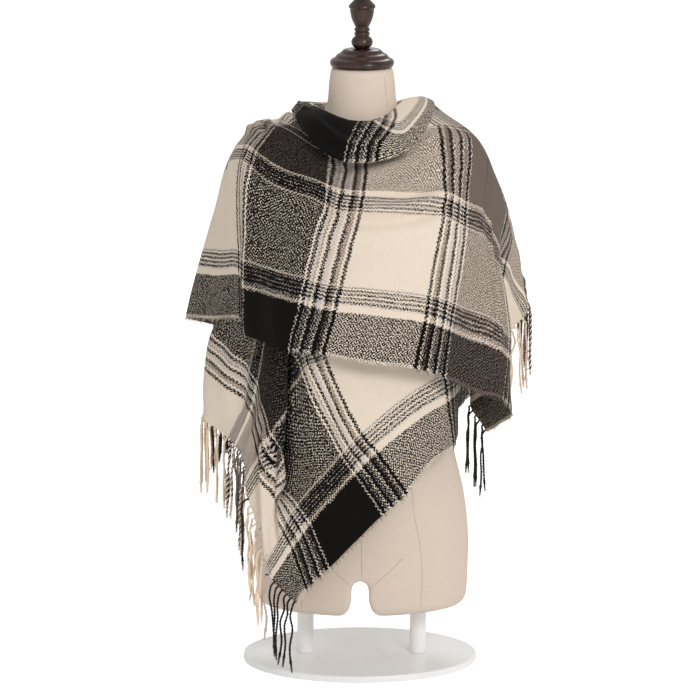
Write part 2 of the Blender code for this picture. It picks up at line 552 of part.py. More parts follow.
def stand_post(name, x, look):
    low = BASE_THICKNESS + SEAM
    high = FORM_FOOT * CM - SEAM
    bm = bmesh.new()
    bmesh.ops.create_cone(
        bm, cap_ends=True, segments=24, radius1=POST_RADIUS, radius2=POST_RADIUS, depth=high - low
    )
    bmesh.ops.translate(bm, verts=bm.verts, vec=(x, 0.0, (low + high) / 2))
    return add_object(name, bm, look)


def stand_base(look):
    bm = bmesh.new()
    bmesh.ops.create_circle(bm, cap_ends=True, radius=1.0, segments=48)
    bmesh.ops.scale(bm, verts=bm.verts, vec=(*BASE_HALF, 1.0))
    face = bm.faces[:][0]
    drawn = bmesh.ops.extrude_face_region(bm, geom=[face])
    top = [v for v in drawn["geom"] if isinstance(v, bmesh.types.BMVert)]
    bmesh.ops.translate(bm, verts=top, vec=(0.0, 0.0, BASE_THICKNESS))
    bmesh.ops.recalc_face_normals(bm, faces=bm.faces)
    obj = add_object("stand_base", bm, look)
    edge = obj.modifiers.new("Softened rim", "BEVEL")
    edge.width = 0.002
    edge.segments = 2
    edge.limit_method = "ANGLE"
    return obj


# ---------------------------------------------------------------- the whole part
def main():
    clear_scene()
    twill = material("woven_scarf", (0.34, 0.30, 0.26), 0.95)
    yarn = material("twisted_fringe", (0.62, 0.52, 0.43), 0.95)
    linen = material("linen_cover", (0.74, 0.60, 0.48), 0.9)
    walnut = material("turned_wood", (0.045, 0.018, 0.011), 0.3)
    enamel = material("white_enamel", (0.85, 0.85, 0.84), 0.35)

    form_body(linen)
    turned("neck_cap", CAP_PROFILE, FORM_TOP + SEAM / CM, walnut)
    turned("neck_finial", FINIAL_PROFILE, FORM_TOP + 2.5 + 2 * SEAM / CM, walnut)
    stand_base(enamel)
    for side, x in (("left", -0.082), ("right", 0.082)):
        stand_post(f"stand_post_{side}", x + FORM_X * CM, enamel)

    collar = collar_stretch(COLLAR)
    shell_v = steps(0, 34, 10)
    end_v = shell_v + steps(34, 54, 6)[1:]
    under_v = shell_v + steps(34, 60, 8)[1:]
    front_u = steps(141.05, 178.7, 22)
    collar_v = (34, 37, 40, 43, 45.5, 47.5, 49, 50.5, 52, 54, 56, 58, 60)
    cloth_node("scarf_front", SHELL, front_u, shell_v, twill)
    cloth_node("scarf_left_side", SHELL, steps(123.4, 141.05, 9), shell_v, twill)
    cloth_node("scarf_right_end", END, steps(178.7, SCARF_LENGTH, 12), end_v, twill)
    cloth_node("scarf_right_shoulder", END, front_u[17:], steps(34, 54, 6), twill)
    cloth_node("scarf_back", SHELL, steps(50.0, 123.4, 28), shell_v, twill)
    cloth_node("scarf_under_right", SHELL, steps(38.1, 50.0, 7), shell_v, twill)
    cloth_node("scarf_under_front", UNDER, steps(0.0, 38.1, 15), under_v, twill)
    cloth_node("scarf_collar_front", collar, steps(123.4, 177.0, 20), collar_v, twill)
    cloth_node("scarf_collar_back", collar, steps(56.0, 123.4, 12), collar_v, twill)

    hem_a = Hem(UNDER, 0.0, -1, under_v)
    for name, low, high in (("corner", 0, 6), ("lower", 7, 21), ("middle", 21, 39), ("upper", 39, 60)):
        fringe_node(f"fringe_a_{name}", hem_a, (low, high), yarn)
    hem_b = Hem(END, SCARF_LENGTH, 1, end_v)
    for name, low, high in (("corner", 0, 6.8), ("lower", 11.8, 20), ("upper", 20, 34), ("back", 34, 54)):
        fringe_node(f"fringe_b_{name}", hem_b, (low, high), yarn)


main()
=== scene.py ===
# %% [markdown]
# # A blanket scarf on a dress form
# The scarf is one woven sheet, 200 cm long and 60 cm wide, with a large check and a twisted
# fringe on both short hems. It is wound once and a half round a limbless form and its upper
# selvedge is turned out into a cowl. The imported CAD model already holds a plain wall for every
# stretch that shows. Here each wall gets its own thin, creased cloth with the woven check,
# and the form gets its linen cover, its seams and its turned wood.

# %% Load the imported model
import json
import random
from collections import namedtuple
from functools import partialmethod
from math import cos, pi, radians, sin

import bmesh
import bpy
import numpy as np
from mathutils import Matrix, Vector
from mathutils.bvhtree import BVHTree

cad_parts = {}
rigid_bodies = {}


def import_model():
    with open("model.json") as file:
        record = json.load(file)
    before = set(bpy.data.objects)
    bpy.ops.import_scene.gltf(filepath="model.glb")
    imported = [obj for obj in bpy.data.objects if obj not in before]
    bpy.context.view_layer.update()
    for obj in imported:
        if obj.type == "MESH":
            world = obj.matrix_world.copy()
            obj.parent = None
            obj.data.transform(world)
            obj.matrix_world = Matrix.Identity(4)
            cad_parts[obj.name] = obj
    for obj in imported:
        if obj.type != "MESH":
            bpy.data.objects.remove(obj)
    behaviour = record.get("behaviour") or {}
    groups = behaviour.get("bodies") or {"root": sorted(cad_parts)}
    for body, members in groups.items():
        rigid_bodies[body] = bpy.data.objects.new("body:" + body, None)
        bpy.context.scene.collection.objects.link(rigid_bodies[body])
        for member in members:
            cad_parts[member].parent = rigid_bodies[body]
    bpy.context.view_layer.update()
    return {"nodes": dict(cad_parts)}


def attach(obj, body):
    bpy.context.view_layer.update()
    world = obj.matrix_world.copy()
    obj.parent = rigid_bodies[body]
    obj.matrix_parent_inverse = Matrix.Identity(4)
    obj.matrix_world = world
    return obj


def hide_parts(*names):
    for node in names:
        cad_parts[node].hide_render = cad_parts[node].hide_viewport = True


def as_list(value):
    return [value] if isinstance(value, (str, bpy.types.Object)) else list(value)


CM = 0.01
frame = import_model()
random.seed(11)
print("CAD nodes:", len(frame["nodes"]))


# %% Helpers for new objects
def add(name, data):
    """A new object in the scene that holds the data."""
    obj = bpy.data.objects.new(name, data)
    bpy.context.scene.collection.objects.link(obj)
    return obj


def mesh_from(bm, name):
    mesh = bpy.data.meshes.new(name)
    bm.to_mesh(mesh)
    bm.free()
    return mesh


def new_points(extruded):
    return [part for part in extruded["geom"] if isinstance(part, bmesh.types.BMVert)]


def applied(obj, name):
    """The object's shape with its modifiers or its roundness, as a plain mesh instead of it."""
    graph = bpy.context.evaluated_depsgraph_get()
    mesh = bpy.data.meshes.new_from_object(obj.evaluated_get(graph))
    mesh.name = name
    bpy.data.objects.remove(obj, do_unlink=True)
    return add(name, mesh)


def round_curve(name, radius):
    curve = bpy.data.curves.new(name, "CURVE")
    curve.dimensions = "3D"
    curve.bevel_depth = radius
    curve.bevel_resolution = 0
    curve.use_fill_caps = True
    return curve


def add_line(curve, points, swell=None):
    """An open line through the points, thicker and thinner along the way as swell says."""
    spline = curve.splines.new("POLY")
    spline.points.add(len(points) - 1)
    spline.points.foreach_set("co", np.c_[points, np.ones(len(points))].ravel())
    if swell is not None:
        spline.points.foreach_set("radius", swell.astype(np.float32))


# %% [markdown]
# ## Camera
# A long lens from almost five metres away, a little above the middle of the object and
# pitched down twelve degrees, keeps the sheet's proportions without strong perspective.

# %% Camera
CAMERA_AT = Vector((-0.0145, -4.8907, 1.4996))
CAMERA_TARGET = Vector((-0.0145, 0.0, 0.46))

camera_data = bpy.data.cameras.new("camera")
camera_data.sensor_width = 36.0
camera_data.lens = 179.2
camera_data.clip_end = 40.0
camera = add("camera", camera_data)
camera.location = CAMERA_AT
camera.rotation_euler = (CAMERA_AT - CAMERA_TARGET).to_track_quat("Z", "Y").to_euler()
bpy.context.scene.camera = camera
print("camera distance", round((CAMERA_AT - CAMERA_TARGET).length, 2), "m")

# %% [markdown]
# ## Places on the cloth
# A place on the scarf is (u, v) in centimetres: u runs along the length from hem A to hem B,
# v runs across the width from the outer selvedge (0) to the collar selvedge (60). Each stretch
# is a table of sections, and a smooth curve goes through them in both directions. A simulation
# would let the cloth fall differently each time it is changed, and a table keeps every stripe
# where it is put. The tables follow the CAD walls. A few borders differ by up to three
# centimetres, where thin cloth can lie closer to the layer below than a thick wall can.

# %% The sheet's size and where its stretches meet
LENGTH, WIDTH = 199.7, 60.0
SHELL_TOP, END_TOP = 34.0, 54.0
INNER_END, BACK_START, BACK_END, FRONT_START, FRONT_END = 38.1, 50.0, 123.4, 141.05, 178.7
TO_METRES = np.array((CM, -CM, CM))
print("front panel:", round(FRONT_END - FRONT_START, 2), "cm along the sheet")


# %% A smooth curve through rows of values
def through(knots, values, at):
    """A cubic curve with mean slopes through values at rising knots, read at several places."""
    knots, values, at = (np.asarray(a, dtype=float) for a in (knots, values, at))
    last = len(knots) - 1
    i = np.clip(np.searchsorted(knots, at, side="left") - 1, 0, last - 1)
    before = np.maximum(np.arange(last + 1) - 1, 0)
    after = np.minimum(np.arange(last + 1) + 1, last)
    shape = (-1,) + (1,) * (values.ndim - 1)
    slope = (values[after] - values[before]) / (knots[after] - knots[before]).reshape(shape)
    span = (knots[i + 1] - knots[i]).reshape(shape)
    s = (at - knots[i]).reshape(shape) / span
    return (
        values[i] * (2 * s**3 - 3 * s**2 + 1)
        + slope[i] * span * (s**3 - 2 * s**2 + s)
        + values[i + 1] * (3 * s**2 - 2 * s**3)
        + slope[i + 1] * span * (s**3 - s**2)
    )


print("halfway:", through((0, 1, 2), (0.0, 1.0, 4.0), (1.5,)))


# %% One stretch of the sheet
class Stretch:
    """Sections at rising u, each with points (x, forward, z) in cm at the same heights v."""

    def __init__(self, heights, us, table):
        self.heights, self.us, self.table = heights, us, np.array(table, dtype=float)

    def at_heights(self, vs):
        return through(self.heights, self.table.swapaxes(0, 1), vs).swapaxes(0, 1)

    def refined(self, heights):
        return Stretch(heights, self.us, self.at_heights(heights))

    def grid(self, us, vs):
        """Points in metres for every pair of us and vs."""
        return through(self.us, self.at_heights(vs), us) * TO_METRES

    def normals(self, us, vs, step=0.3):
        """Unit directions out of the cloth, away from the form."""
        us, vs = np.asarray(us, dtype=float), np.asarray(vs, dtype=float)
        along = self.grid(us + step, vs) - self.grid(us - step, vs)
        across = self.grid(us, vs + step) - self.grid(us, vs - step)
        return units(np.cross(along, across))


def units(vectors):
    return vectors / np.linalg.norm(vectors, axis=-1, keepdims=True)


def from_rows(heights, rows):
    """A stretch from rows of u and the points of its section."""
    return Stretch(heights, [row[0] for row in rows], [row[1:] for row in rows])


print("length one:", units(np.array((3.0, 4.0, 0.0))))

# %% The sheet over the back, the left arm, the front and the right arm
SHELL_V = (0, 8, 16, 23, 34, 44)
SHELL_TABLE = (
    (32, (9.9, 13.4, 32.6), (6.7, 14, 40.4), (3.4, 13.9, 47.4),
     (1.2, 13.6, 53.3), (-2.1, 13.1, 61.1), (-5, 11.4, 66.5)),
    (38.1, (13.1, 9.6, 34), (11.9, 10.7, 42.8), (10.4, 11.5, 50.4),
     (8.9, 12.4, 56.2), (5.7, 12.8, 63.6), (2.3, 11.7, 68.9)),
    (41.5, (13.9, 6, 34.1), (13.6, 6.8, 43), (13.2, 7.6, 51),
     (12.6, 8.6, 57.2), (10.8, 9.8, 66.2), (7.7, 9, 72.7)),
    (45.5, (13.8, 0.4, 34.5), (13.9, 0.8, 43), (13.8, 1.2, 51.5),
     (14.4, 1.6, 58.8), (15.9, 2.2, 69), (15.2, 2, 77)),
    (50, (13.8, -5.2, 35.4), (14.2, -4.8, 44), (14.5, -4.4, 52.6),
     (15.2, -3.8, 60.2), (16.8, -2.8, 71.2), (14.6, -2.6, 78.4)),
    (55, (15.7, -10.4, 36.4), (15.9, -9.2, 45.6), (16.2, -8.2, 54.4),
     (16.3, -7.2, 62.2), (15.8, -5.2, 75.4), (12.2, -4.2, 79.6)),
    (61, (17.4, -13.8, 37), (16.2, -12.6, 46.5), (15.2, -11.6, 55.5),
     (14.2, -10.4, 64), (11.8, -7, 77.8), (9, -5.6, 79.4)),
    (68, (10.6, -16.2, 38.5), (9.6, -15, 47.5), (8.7, -13.8, 56.5),
     (7.9, -12.4, 65), (7.2, -8.7, 77.4), (6.2, -7.2, 79.2)),
    (78, (4.2, -14.3, 40), (3.8, -13.7, 49), (3.4, -13, 57.5),
     (3, -11.8, 66), (2.6, -8.9, 77), (2.3, -7.6, 79.2)),
    (88, (-2.2, -16.6, 41.5), (-2.2, -15.3, 50.5), (-2.2, -13.9, 58.5),
     (-2.3, -12.3, 66.5), (-2.4, -8.9, 77), (-2.1, -7.5, 79.2)),
    (98, (-9.6, -15.2, 43.5), (-8.9, -14.2, 52), (-8.2, -13.2, 60),
     (-7.6, -11.8, 67.5), (-6.8, -8.8, 77.3), (-5.8, -6.7, 79.4)),
    (107, (-15.2, -14.6, 45.2), (-14, -13.4, 53.6), (-12.8, -12.2, 61.2),
     (-11.8, -10.8, 68.5), (-10.2, -7.9, 77.8), (-8.4, -5.3, 79.9)),
    (115, (-20.6, -11.2, 47.2), (-18.9, -10.8, 55.8), (-17.3, -9.8, 63.2),
     (-15.9, -8.4, 70.4), (-12.8, -6.4, 78), (-10, -4.4, 80.4)),
    (123.4, (-25.2, -4, 50), (-22.9, -5, 58.1), (-20.8, -5, 65.4),
     (-18.8, -4, 72.3), (-14.6, -4, 78.4), (-11.6, -3.2, 80.3)),
    (129.6, (-21.3, 1.5, 50.9), (-19.8, 0.6, 58.9), (-19, 0.6, 66.6),
     (-18.3, 0, 73.8), (-14.6, -2, 78.9), (-11.6, -1.4, 80.4)),
    (135.8, (-17.2, 5.6, 51.7), (-17.2, 5.6, 59.9), (-17.6, 4.6, 67.2),
     (-17.3, 3.4, 74.6), (-13.9, -0.4, 79.1), (-10.9, -0.2, 80.4)),
    (141.05, (-16, 10.6, 50.5), (-16.1, 10.2, 59.1), (-16.3, 8.6, 67.2),
     (-15.9, 6.2, 74.6), (-12.6, 2.4, 79), (-9.7, 2, 80.3)),
    (146, (-12.9, 14, 49.9), (-12.6, 13.5, 58.8), (-12.5, 12, 66.2),
     (-12.3, 9.5, 72.6), (-9.9, 5.5, 78.2), (-7.2, 4.6, 79.8)),
    (151.05, (-9.9, 16, 49.3), (-8.9, 15.5, 58.2), (-8.1, 14.4, 65.4),
     (-7.3, 12.5, 71.6), (-5.9, 8.9, 76.2), (-4.3, 7.2, 78.3)),
    (156.3, (-5.3, 17.3, 49), (-3.7, 17, 57.9), (-2.8, 16, 64.8),
     (-2.1, 14, 70.6), (-1.9, 10.4, 75.4), (-1.4, 8.4, 77.9)),
    (162.5, (1, 17.8, 47.9), (3, 17.3, 57.6), (3.9, 16.2, 64.5),
     (4.6, 14.3, 70.4), (4.4, 10, 76.1), (3.4, 8, 78.2)),
    (168.7, (7.8, 16.8, 46.9), (9.3, 16, 56.8), (10.3, 14.8, 63.8),
     (11, 12.8, 70.1), (9.9, 7.2, 78.2), (9.3, 5.6, 79.2)),
    (173.95, (12.5, 14.5, 44.8), (13.6, 14, 55.2), (14.4, 12.8, 62.4),
     (14.7, 10.5, 69), (15.2, 3, 77), (12.9, 2.4, 79)),
    (178.7, (16.6, 11.2, 42.2), (17.7, 11.2, 52.9), (17.9, 9.8, 60.5),
     (17.3, 7.8, 67.2), (17.8, 1.6, 74.5), (14.9, -1.4, 79)),
    (183.45, (20.1, 7.6, 40.6), (20.8, 7, 48.6), (19.9, 7.2, 55.4),
     (18.9, 6.8, 61.5), (20.4, -1, 67.2), (15.9, -5.2, 76.9)),
)
SHELL_ROWS = from_rows(SHELL_V, SHELL_TABLE)
print("shell sections:", len(SHELL_ROWS.us))

# %% The end that hangs over the right arm
# Up to v = 34 its first sections are the shell's own. The two points above are given here.
END_V = SHELL_V + (54,)
END_UPPER = (
    (162.5, (3.4, 8, 78.2), (2.9, 7, 79)),
    (168.7, (9.7, 6.4, 79.2), (9, 6.8, 79.7)),
    (173.95, (12.5, 2.4, 78.9), (9.7, 2.6, 80.7)),
    (178.7, (14, -1.4, 78.6), (9.9, -1.6, 80.8)),
    (183.45, (15.4, -5.2, 76.3), (10.4, -5, 80.8)),
)
END_TABLE = (
    (188.7, (21.7, 2.6, 37.3), (20.8, 2.2, 46), (20.3, 2.6, 53.8),
     (20.6, 2.4, 58.6), (21.6, -3.8, 63.4), (17.6, -8.4, 73.6), (11.2, -8.4, 78.8)),
    (194, (20.2, -0.4, 35), (19.2, -2.6, 42.2), (20.7, 0, 51.4),
     (22, -0.4, 55.4), (22.5, -6.6, 60.2), (18.8, -11, 69.8), (12.2, -11, 76.4)),
    (199.7, (18.2, -4, 33), (16.2, -6.4, 38.6), (21.4, -3.2, 47.6),
     (23.9, -3.6, 51.2), (22.9, -9.4, 57.2), (19.2, -12.8, 65.2), (13, -12.6, 73.2)),
)
shell_points = {row[0]: row[1:-1] for row in SHELL_TABLE}
END_ROWS = from_rows(
    END_V, [(u, *shell_points[u], *upper) for u, *upper in END_UPPER] + list(END_TABLE)
)
print("end sections:", len(END_ROWS.us))

# %% The inner layer, from hem A up and across under the outer layer
UNDER_V = (0, 6, 10, 16, 21, 25, 30, 35, 39, 45, 50, 60)
UNDER_ROWS = from_rows(UNDER_V, (
    (0, (-9, 14, 12.4), (-12.5, 13.5, 15.6), (-13.2, 13, 18.3), (-14.5, 12, 22.5),
     (-15.8, 10.7, 26.4), (-16.3, 9.5, 29.2), (-16.6, 8.4, 31.5), (-17.5, 7, 33.3),
     (-18.9, 5.3, 34.3), (-22.2, 0.8, 36), (-22, -3.8, 37.4), (-18.8, -9, 39.6)),
    (5.2, (-7.7, 14.5, 14.4), (-9.7, 14.2, 20), (-11, 14, 23), (-12.6, 12.8, 27.1),
     (-13.9, 11.5, 30.1), (-14.8, 10.3, 32.9), (-15, 9.2, 35.6), (-15.4, 8.4, 38.5),
     (-16.6, 7, 40), (-21, 2.2, 42.4), (-21.9, -2.2, 43.6), (-19.4, -8.2, 46)),
    (10.45, (-4.3, 15, 17.9), (-6.9, 15, 24), (-8.8, 14.8, 26.9), (-10.7, 13.5, 29.6),
     (-12.1, 12, 33), (-13, 10.4, 36.6), (-13.7, 9.3, 39.8), (-14.4, 8.8, 42.9),
     (-15.6, 7.8, 44.8), (-19, 3.8, 47.2), (-21, -0.6, 48.7), (-19.4, -7.4, 52)),
    (20.45, (3.1, 15.5, 25.6), (-0.7, 15.5, 31.3), (-2.8, 15.3, 34.2), (-5.7, 14.3, 39.8),
     (-8, 13.2, 45.6), (-9.3, 12.3, 48.6), (-10.7, 11.2, 51.6), (-11.9, 10.2, 54.2),
     (-12.8, 9.2, 56), (-14.2, 7.2, 58.9), (-15, 5, 61.2), (-16, 0.6, 65.2)),
    (25.7, (6.7, 15.2, 28.8), (2.7, 15.3, 34.6), (0.2, 15.1, 37.6), (-2.6, 14.7, 43),
     (-4.6, 14.2, 47.8), (-5.9, 13.7, 51.1), (-7.3, 13, 54.5), (-8.4, 12.2, 57.3),
     (-9.4, 11.4, 59.4), (-10.8, 10, 62.6), (-11.8, 8.6, 65), (-13.4, 5, 69)),
    (32, (9.9, 13.4, 32.6), (7.6, 13.9, 38.6), (5.8, 14, 42.2), (3.4, 13.9, 47.4),
     (1.9, 13.7, 51.6), (0.7, 13.5, 54.9), (-0.9, 13.3, 58.6), (-2.4, 13, 61.6),
     (-3.6, 12.5, 63.8), (-5.2, 11.3, 66.9), (-6.6, 10.2, 69.2), (-8.6, 7.6, 72.6)),
    (38.1, (13.1, 9.6, 34), (12.2, 10.4, 40.6), (11.5, 10.9, 45), (10.4, 11.5, 50.4),
     (9.4, 12.1, 54.6), (8.4, 12.6, 57.8), (6.9, 12.9, 61.4), (5.4, 12.8, 64.2),
     (4.1, 12.4, 66.2), (2, 11.6, 69.4), (0.4, 10.6, 71.4), (-2.4, 8.6, 74.4)),
    (41.5, (13.9, 6, 34.1), (13.7, 6.6, 40.8), (13.5, 7, 45), (13.2, 7.6, 51),
     (12.8, 8.3, 55.4), (12.3, 8.8, 59), (11.6, 9.5, 63), (10.6, 9.8, 67),
     (9.4, 9.6, 70), (7.4, 8.8, 73.2), (5.4, 8.2, 75.4), (2, 6.8, 78)),
))
print("inner sections:", len(UNDER_ROWS.us))

# %% The same heights in every stretch
# Two pieces meet without a gap only where their sections have the same heights. The shell's
# section where the inner layer ends is also taken from the inner layer.
FINE_V = (0, 6, 10, 16, 21, 25, 30, 34, 39)
UNDER = UNDER_ROWS.refined(FINE_V + (45, 50, 60))
SHELL = SHELL_ROWS.refined(FINE_V + (44,))
END = END_ROWS.refined(FINE_V + (44, 54))
inner_end = UNDER_ROWS.us.index(INNER_END)
SHELL.table[SHELL.us.index(INNER_END)] = UNDER_ROWS.refined(SHELL.heights).table[inner_end]
print("heights in common:", FINE_V)

# %% [markdown]
# ## The cowl
# The upper selvedge is folded outwards round the neck. Each section of the cowl has four named
# points: the crease where it leaves the shoulder, its side against the neck, the top of the
# fold, and the selvedge of the part that is turned out. It could be made as a collar of its
# own, but as a part of the same sheet its stripes run on from the shoulder.

# %% The cowl's sections
Collar = namedtuple("Collar", "u crease neck_side fold selvedge")
COLLAR = [Collar(*row) for row in (
    (44, (9.4, 6.6, 78.6), (5.1, 2.5, 80.9), (5.6, 2.9, 81.9), (9.2, 8.4, 79.4)),
    (51, (9, 1.4, 80), (5.8, -0.2, 81.1), (6.3, -0.2, 82.1), (10.4, 2.4, 81)),
    (56, (8.7, -4.2, 80), (5.7, -2.9, 80.9), (6.3, -3.2, 81.7), (10.2, -4.8, 81.3)),
    (68, (6.9, -8.4, 77.9), (3.8, -6.2, 79.9), (4.3, -6.9, 80.8), (7.4, -11.2, 77.4)),
    (81, (0.4, -8.6, 77.4), (0.2, -6.6, 79.8), (0.2, -7.4, 80.8), (0.2, -12.3, 76.2)),
    (95, (-5.3, -8.5, 77.7), (-3.9, -6, 79.9), (-4.6, -6.7, 80.8), (-8, -10.9, 76.9)),
    (109, (-10.5, -7.1, 78.4), (-5.6, -3.8, 80.2), (-6.6, -4.3, 81.1), (-9.7, -7.2, 79.5)),
    (123.4, (-14.2, -3.9, 78.9), (-5.9, -1.2, 80.6), (-7.2, -1.6, 81.4), (-9.3, -2.6, 80.4)),
    (134, (-13.8, -0.9, 79.6), (-5.6, 1.2, 80.6), (-6.9, 1, 81.5), (-9.2, 1.8, 80.5)),
    (141, (-12.2, 2.3, 79.5), (-4.9, 2.8, 80.5), (-6, 3, 81.4), (-8.9, 5.2, 80)),
    (146, (-9.6, 5.2, 78.7), (-4, 4.5, 80.2), (-4.9, 5, 81.2), (-7.5, 8.8, 78.6)),
    (150.5, (-6.1, 8.2, 76.9), (-2.6, 5.9, 79.5), (-3.1, 6.5, 80.6), (-5.2, 11.4, 76.5)),
    (156, (-2.1, 9.9, 75.9), (-0.8, 6.3, 79.1), (-0.9, 7, 80.1), (-2, 13, 75.3)),
    (161, (2.9, 9.6, 76.3), (1.6, 6.2, 79.2), (1.8, 6.9, 80.2), (2.6, 13.1, 75.5)),
    (165, (6.7, 8.4, 77.3), (3.9, 4.8, 80), (4.3, 5.4, 81), (6.5, 12, 76.8)),
)]
# past the front the cowl has gone once round, and lies where it lay at the start
ONE_TURN_ON = (168.7, 172, 177, 189)
COLLAR += [first._replace(u=u) for first, u in zip(COLLAR, ONE_TURN_ON)]
COLLAR_V = (34, 41, 47, 50, 55, 60)
LEG_SHARE, LEG_SAG, FLAP_SWELL = 0.55, 0.25, 0.45
# the shell's border is hidden up to the first u, shows between the next two, and hides again
BORDER_SHOWS = (60, 68, 168.7, 172)


def collar_section(row):
    """The named points of one section, with its leg and its flap between them."""
    crease, neck_side, fold, selvedge = (np.array(point) for point in row[1:])
    leg = crease + (neck_side - crease) * LEG_SHARE - np.array((0, 0, LEG_SAG))
    outward = units(np.array((selvedge[0], selvedge[1], 0)))
    flap = (fold + selvedge) / 2 + outward * FLAP_SWELL + np.array((0, 0, FLAP_SWELL))
    return (row.u, crease, leg, neck_side, fold, flap, selvedge)


def joined_to_shell(row):
    """The crease is moved onto the shell's upper border wherever that border shows."""
    border = SHELL.grid((row.u,), (SHELL_TOP,))[0, 0] / TO_METRES
    share = np.interp(row.u, BORDER_SHOWS, (0, 1, 1, 0))
    return row._replace(crease=tuple(np.array(row.crease) * (1 - share) + border * share))


COWL = from_rows(COLLAR_V, [collar_section(joined_to_shell(row)) for row in COLLAR])
print("cowl sections:", len(COWL.us))

# %% [markdown]
# ## Threads that are drawn aside
# Pulled cloth doesn't keep its threads in straight rows, so the check bends where the sheet is
# pulled to the shoulder. Their rows go up the width, and their columns run along the length. A
# change in the shape couldn't do this, because the threads slide within the sheet.

# %% Where the threads are drawn aside
DRAWN_U = np.array((123.4, 138, 151, 156.3, 169, 176, 184))
DRAWN_V = np.array((0, 6.5, 10, 15, 18.5, 21, 24.8, 29.5, 34))
DRAWN_ALONG = np.array((
    (0, 0, -0.2, 0.5, -0.4, -0.6, 0),
    (0, 0.1, 0.7, 1, 0.1, -1, 0),
    (0, 0.3, 1.1, 1.3, 0.1, -0.7, 0),
    (0, 0.5, 1.6, 1.8, 0.2, -0.3, 0),
    (0, 0.6, 2, 2.3, 0.4, 0, 0),
    (0, 0.8, 2.8, 2.6, 0.5, 0.3, 0),
    (0, 1.2, 2.3, 2.8, 0.7, 0.5, 0),
    (0, 1.7, 1.8, 3.2, 1, 0.6, 0),
    (0, 1.9, 1.8, 3, 1.1, 0.6, 0),
))
DRAWN_ACROSS = np.array((
    (0, 0, 0, 0, 0, 0, 0),
    (0, 0, 0.2, 0.7, 1.2, 1.6, 0.3),
    (0, 0, 0.4, 1.1, 1.7, 2.3, 0.8),
    (0, -0.8, -0.2, 0.9, 1.3, 1.9, 0.6),
    (0, -1.5, -0.4, 0.8, 0.8, 1.7, 0.5),
    (0, -1.9, -0.5, 0.7, 0.6, 1.6, 0.5),
    (0, -1.1, -0.8, 0, 0.6, 1.5, 0.3),
    (0, -0.6, -0.3, 0, -1, -0.2, 0),
    (0, 0, 0, 0, -2.6, -2.2, 0),
))


def ease(s):
    s = np.clip(s, 0, 1)
    return s * s * (3 - 2 * s)


def eased(table, u, v):
    """A value between the entries of a table, with no kink at its rows and columns."""
    i = np.clip(np.searchsorted(DRAWN_U, u) - 1, 0, len(DRAWN_U) - 2)
    j = np.clip(np.searchsorted(DRAWN_V, v) - 1, 0, len(DRAWN_V) - 2)
    s = ease((u - DRAWN_U[i]) / (DRAWN_U[i + 1] - DRAWN_U[i]))
    t = ease((v - DRAWN_V[j]) / (DRAWN_V[j + 1] - DRAWN_V[j]))
    low = table[j, i] * (1 - s) + table[j, i + 1] * s
    high = table[j + 1, i] * (1 - s) + table[j + 1, i + 1] * s
    return low * (1 - t) + high * t


def drawn(u, v):
    """The thread (u, v) that lies at a place of the outer layer."""
    u, v = np.asarray(u, dtype=float), np.asarray(v, dtype=float)
    return u - eased(DRAWN_ALONG, u, v), v + eased(DRAWN_ACROSS, u, v)


print("thread on the chest:", np.round(drawn(155.0, 22.0), 1))

# %% [markdown]
# ## Threads of the cowl
# The cloth is gathered in the fold, so its threads run closer there than the sections do, and
# the part that is turned out leans to one side. Pairs of (section, thread) say which thread
# lies where, along the fold and along the selvedge, and up both sides of the cowl.

# %% Where the threads of the cowl lie
IN_FOLD = (
    (44, 44), (109, 109), (123.4, 128), (134, 139.2), (141, 142.2), (146, 144.6),
    (150.5, 147.2), (157.2, 151.05), (161.5, 153.2), (167, 156.3), (172, 160.5),
    (177, 165), (189, 176),
)
AT_SELVEDGE = (
    (44, 44), (109, 109), (123.4, 128), (134, 139.2), (141, 142.6), (146, 145.6),
    (150.5, 148.4), (155.6, 151.05), (158.3, 153.6), (161, 156.3), (165, 158.6),
    (168.7, 161), (172, 163.5), (177, 167.5), (189, 177.5),
)
LEFT_V = ((34, 34), (36, 38), (41, 43.5), (47, 50.5), (50, 53.9), (55, 57.2), (60, 60))
RIGHT_V = ((34, 34), (41, 37), (47, 41.5), (50, 45), (53.5, 50), (56.5, 53.8), (60, 58))
# each change begins at the first number and is complete after the second, in cm
GATHERS, TURNS_OUT, RIGHT_SIDE = (36.0, 9.0), (49.0, 10.0), (160.0, 6.0)


def gathered(u, v):
    """The thread (u, v) that lies at a place of the cowl."""
    depth, turned_out, side = (
        ease((at - start) / run)
        for at, (start, run) in ((v, GATHERS), (v, TURNS_OUT), (u, RIGHT_SIDE))
    )
    fold, selvedge = np.interp(u, *zip(*IN_FOLD)), np.interp(u, *zip(*AT_SELVEDGE))
    gathered_u = fold + (selvedge - fold) * turned_out
    lower_u, _ = drawn(u, np.full_like(u, SHELL_TOP))
    left, right = np.interp(v, *zip(*LEFT_V)), np.interp(v, *zip(*RIGHT_V))
    return lower_u + (gathered_u - lower_u) * depth, left + (right - left) * side


print("thread at the middle of the cowl:", np.round(gathered(np.array(155.0), 57.0), 1))
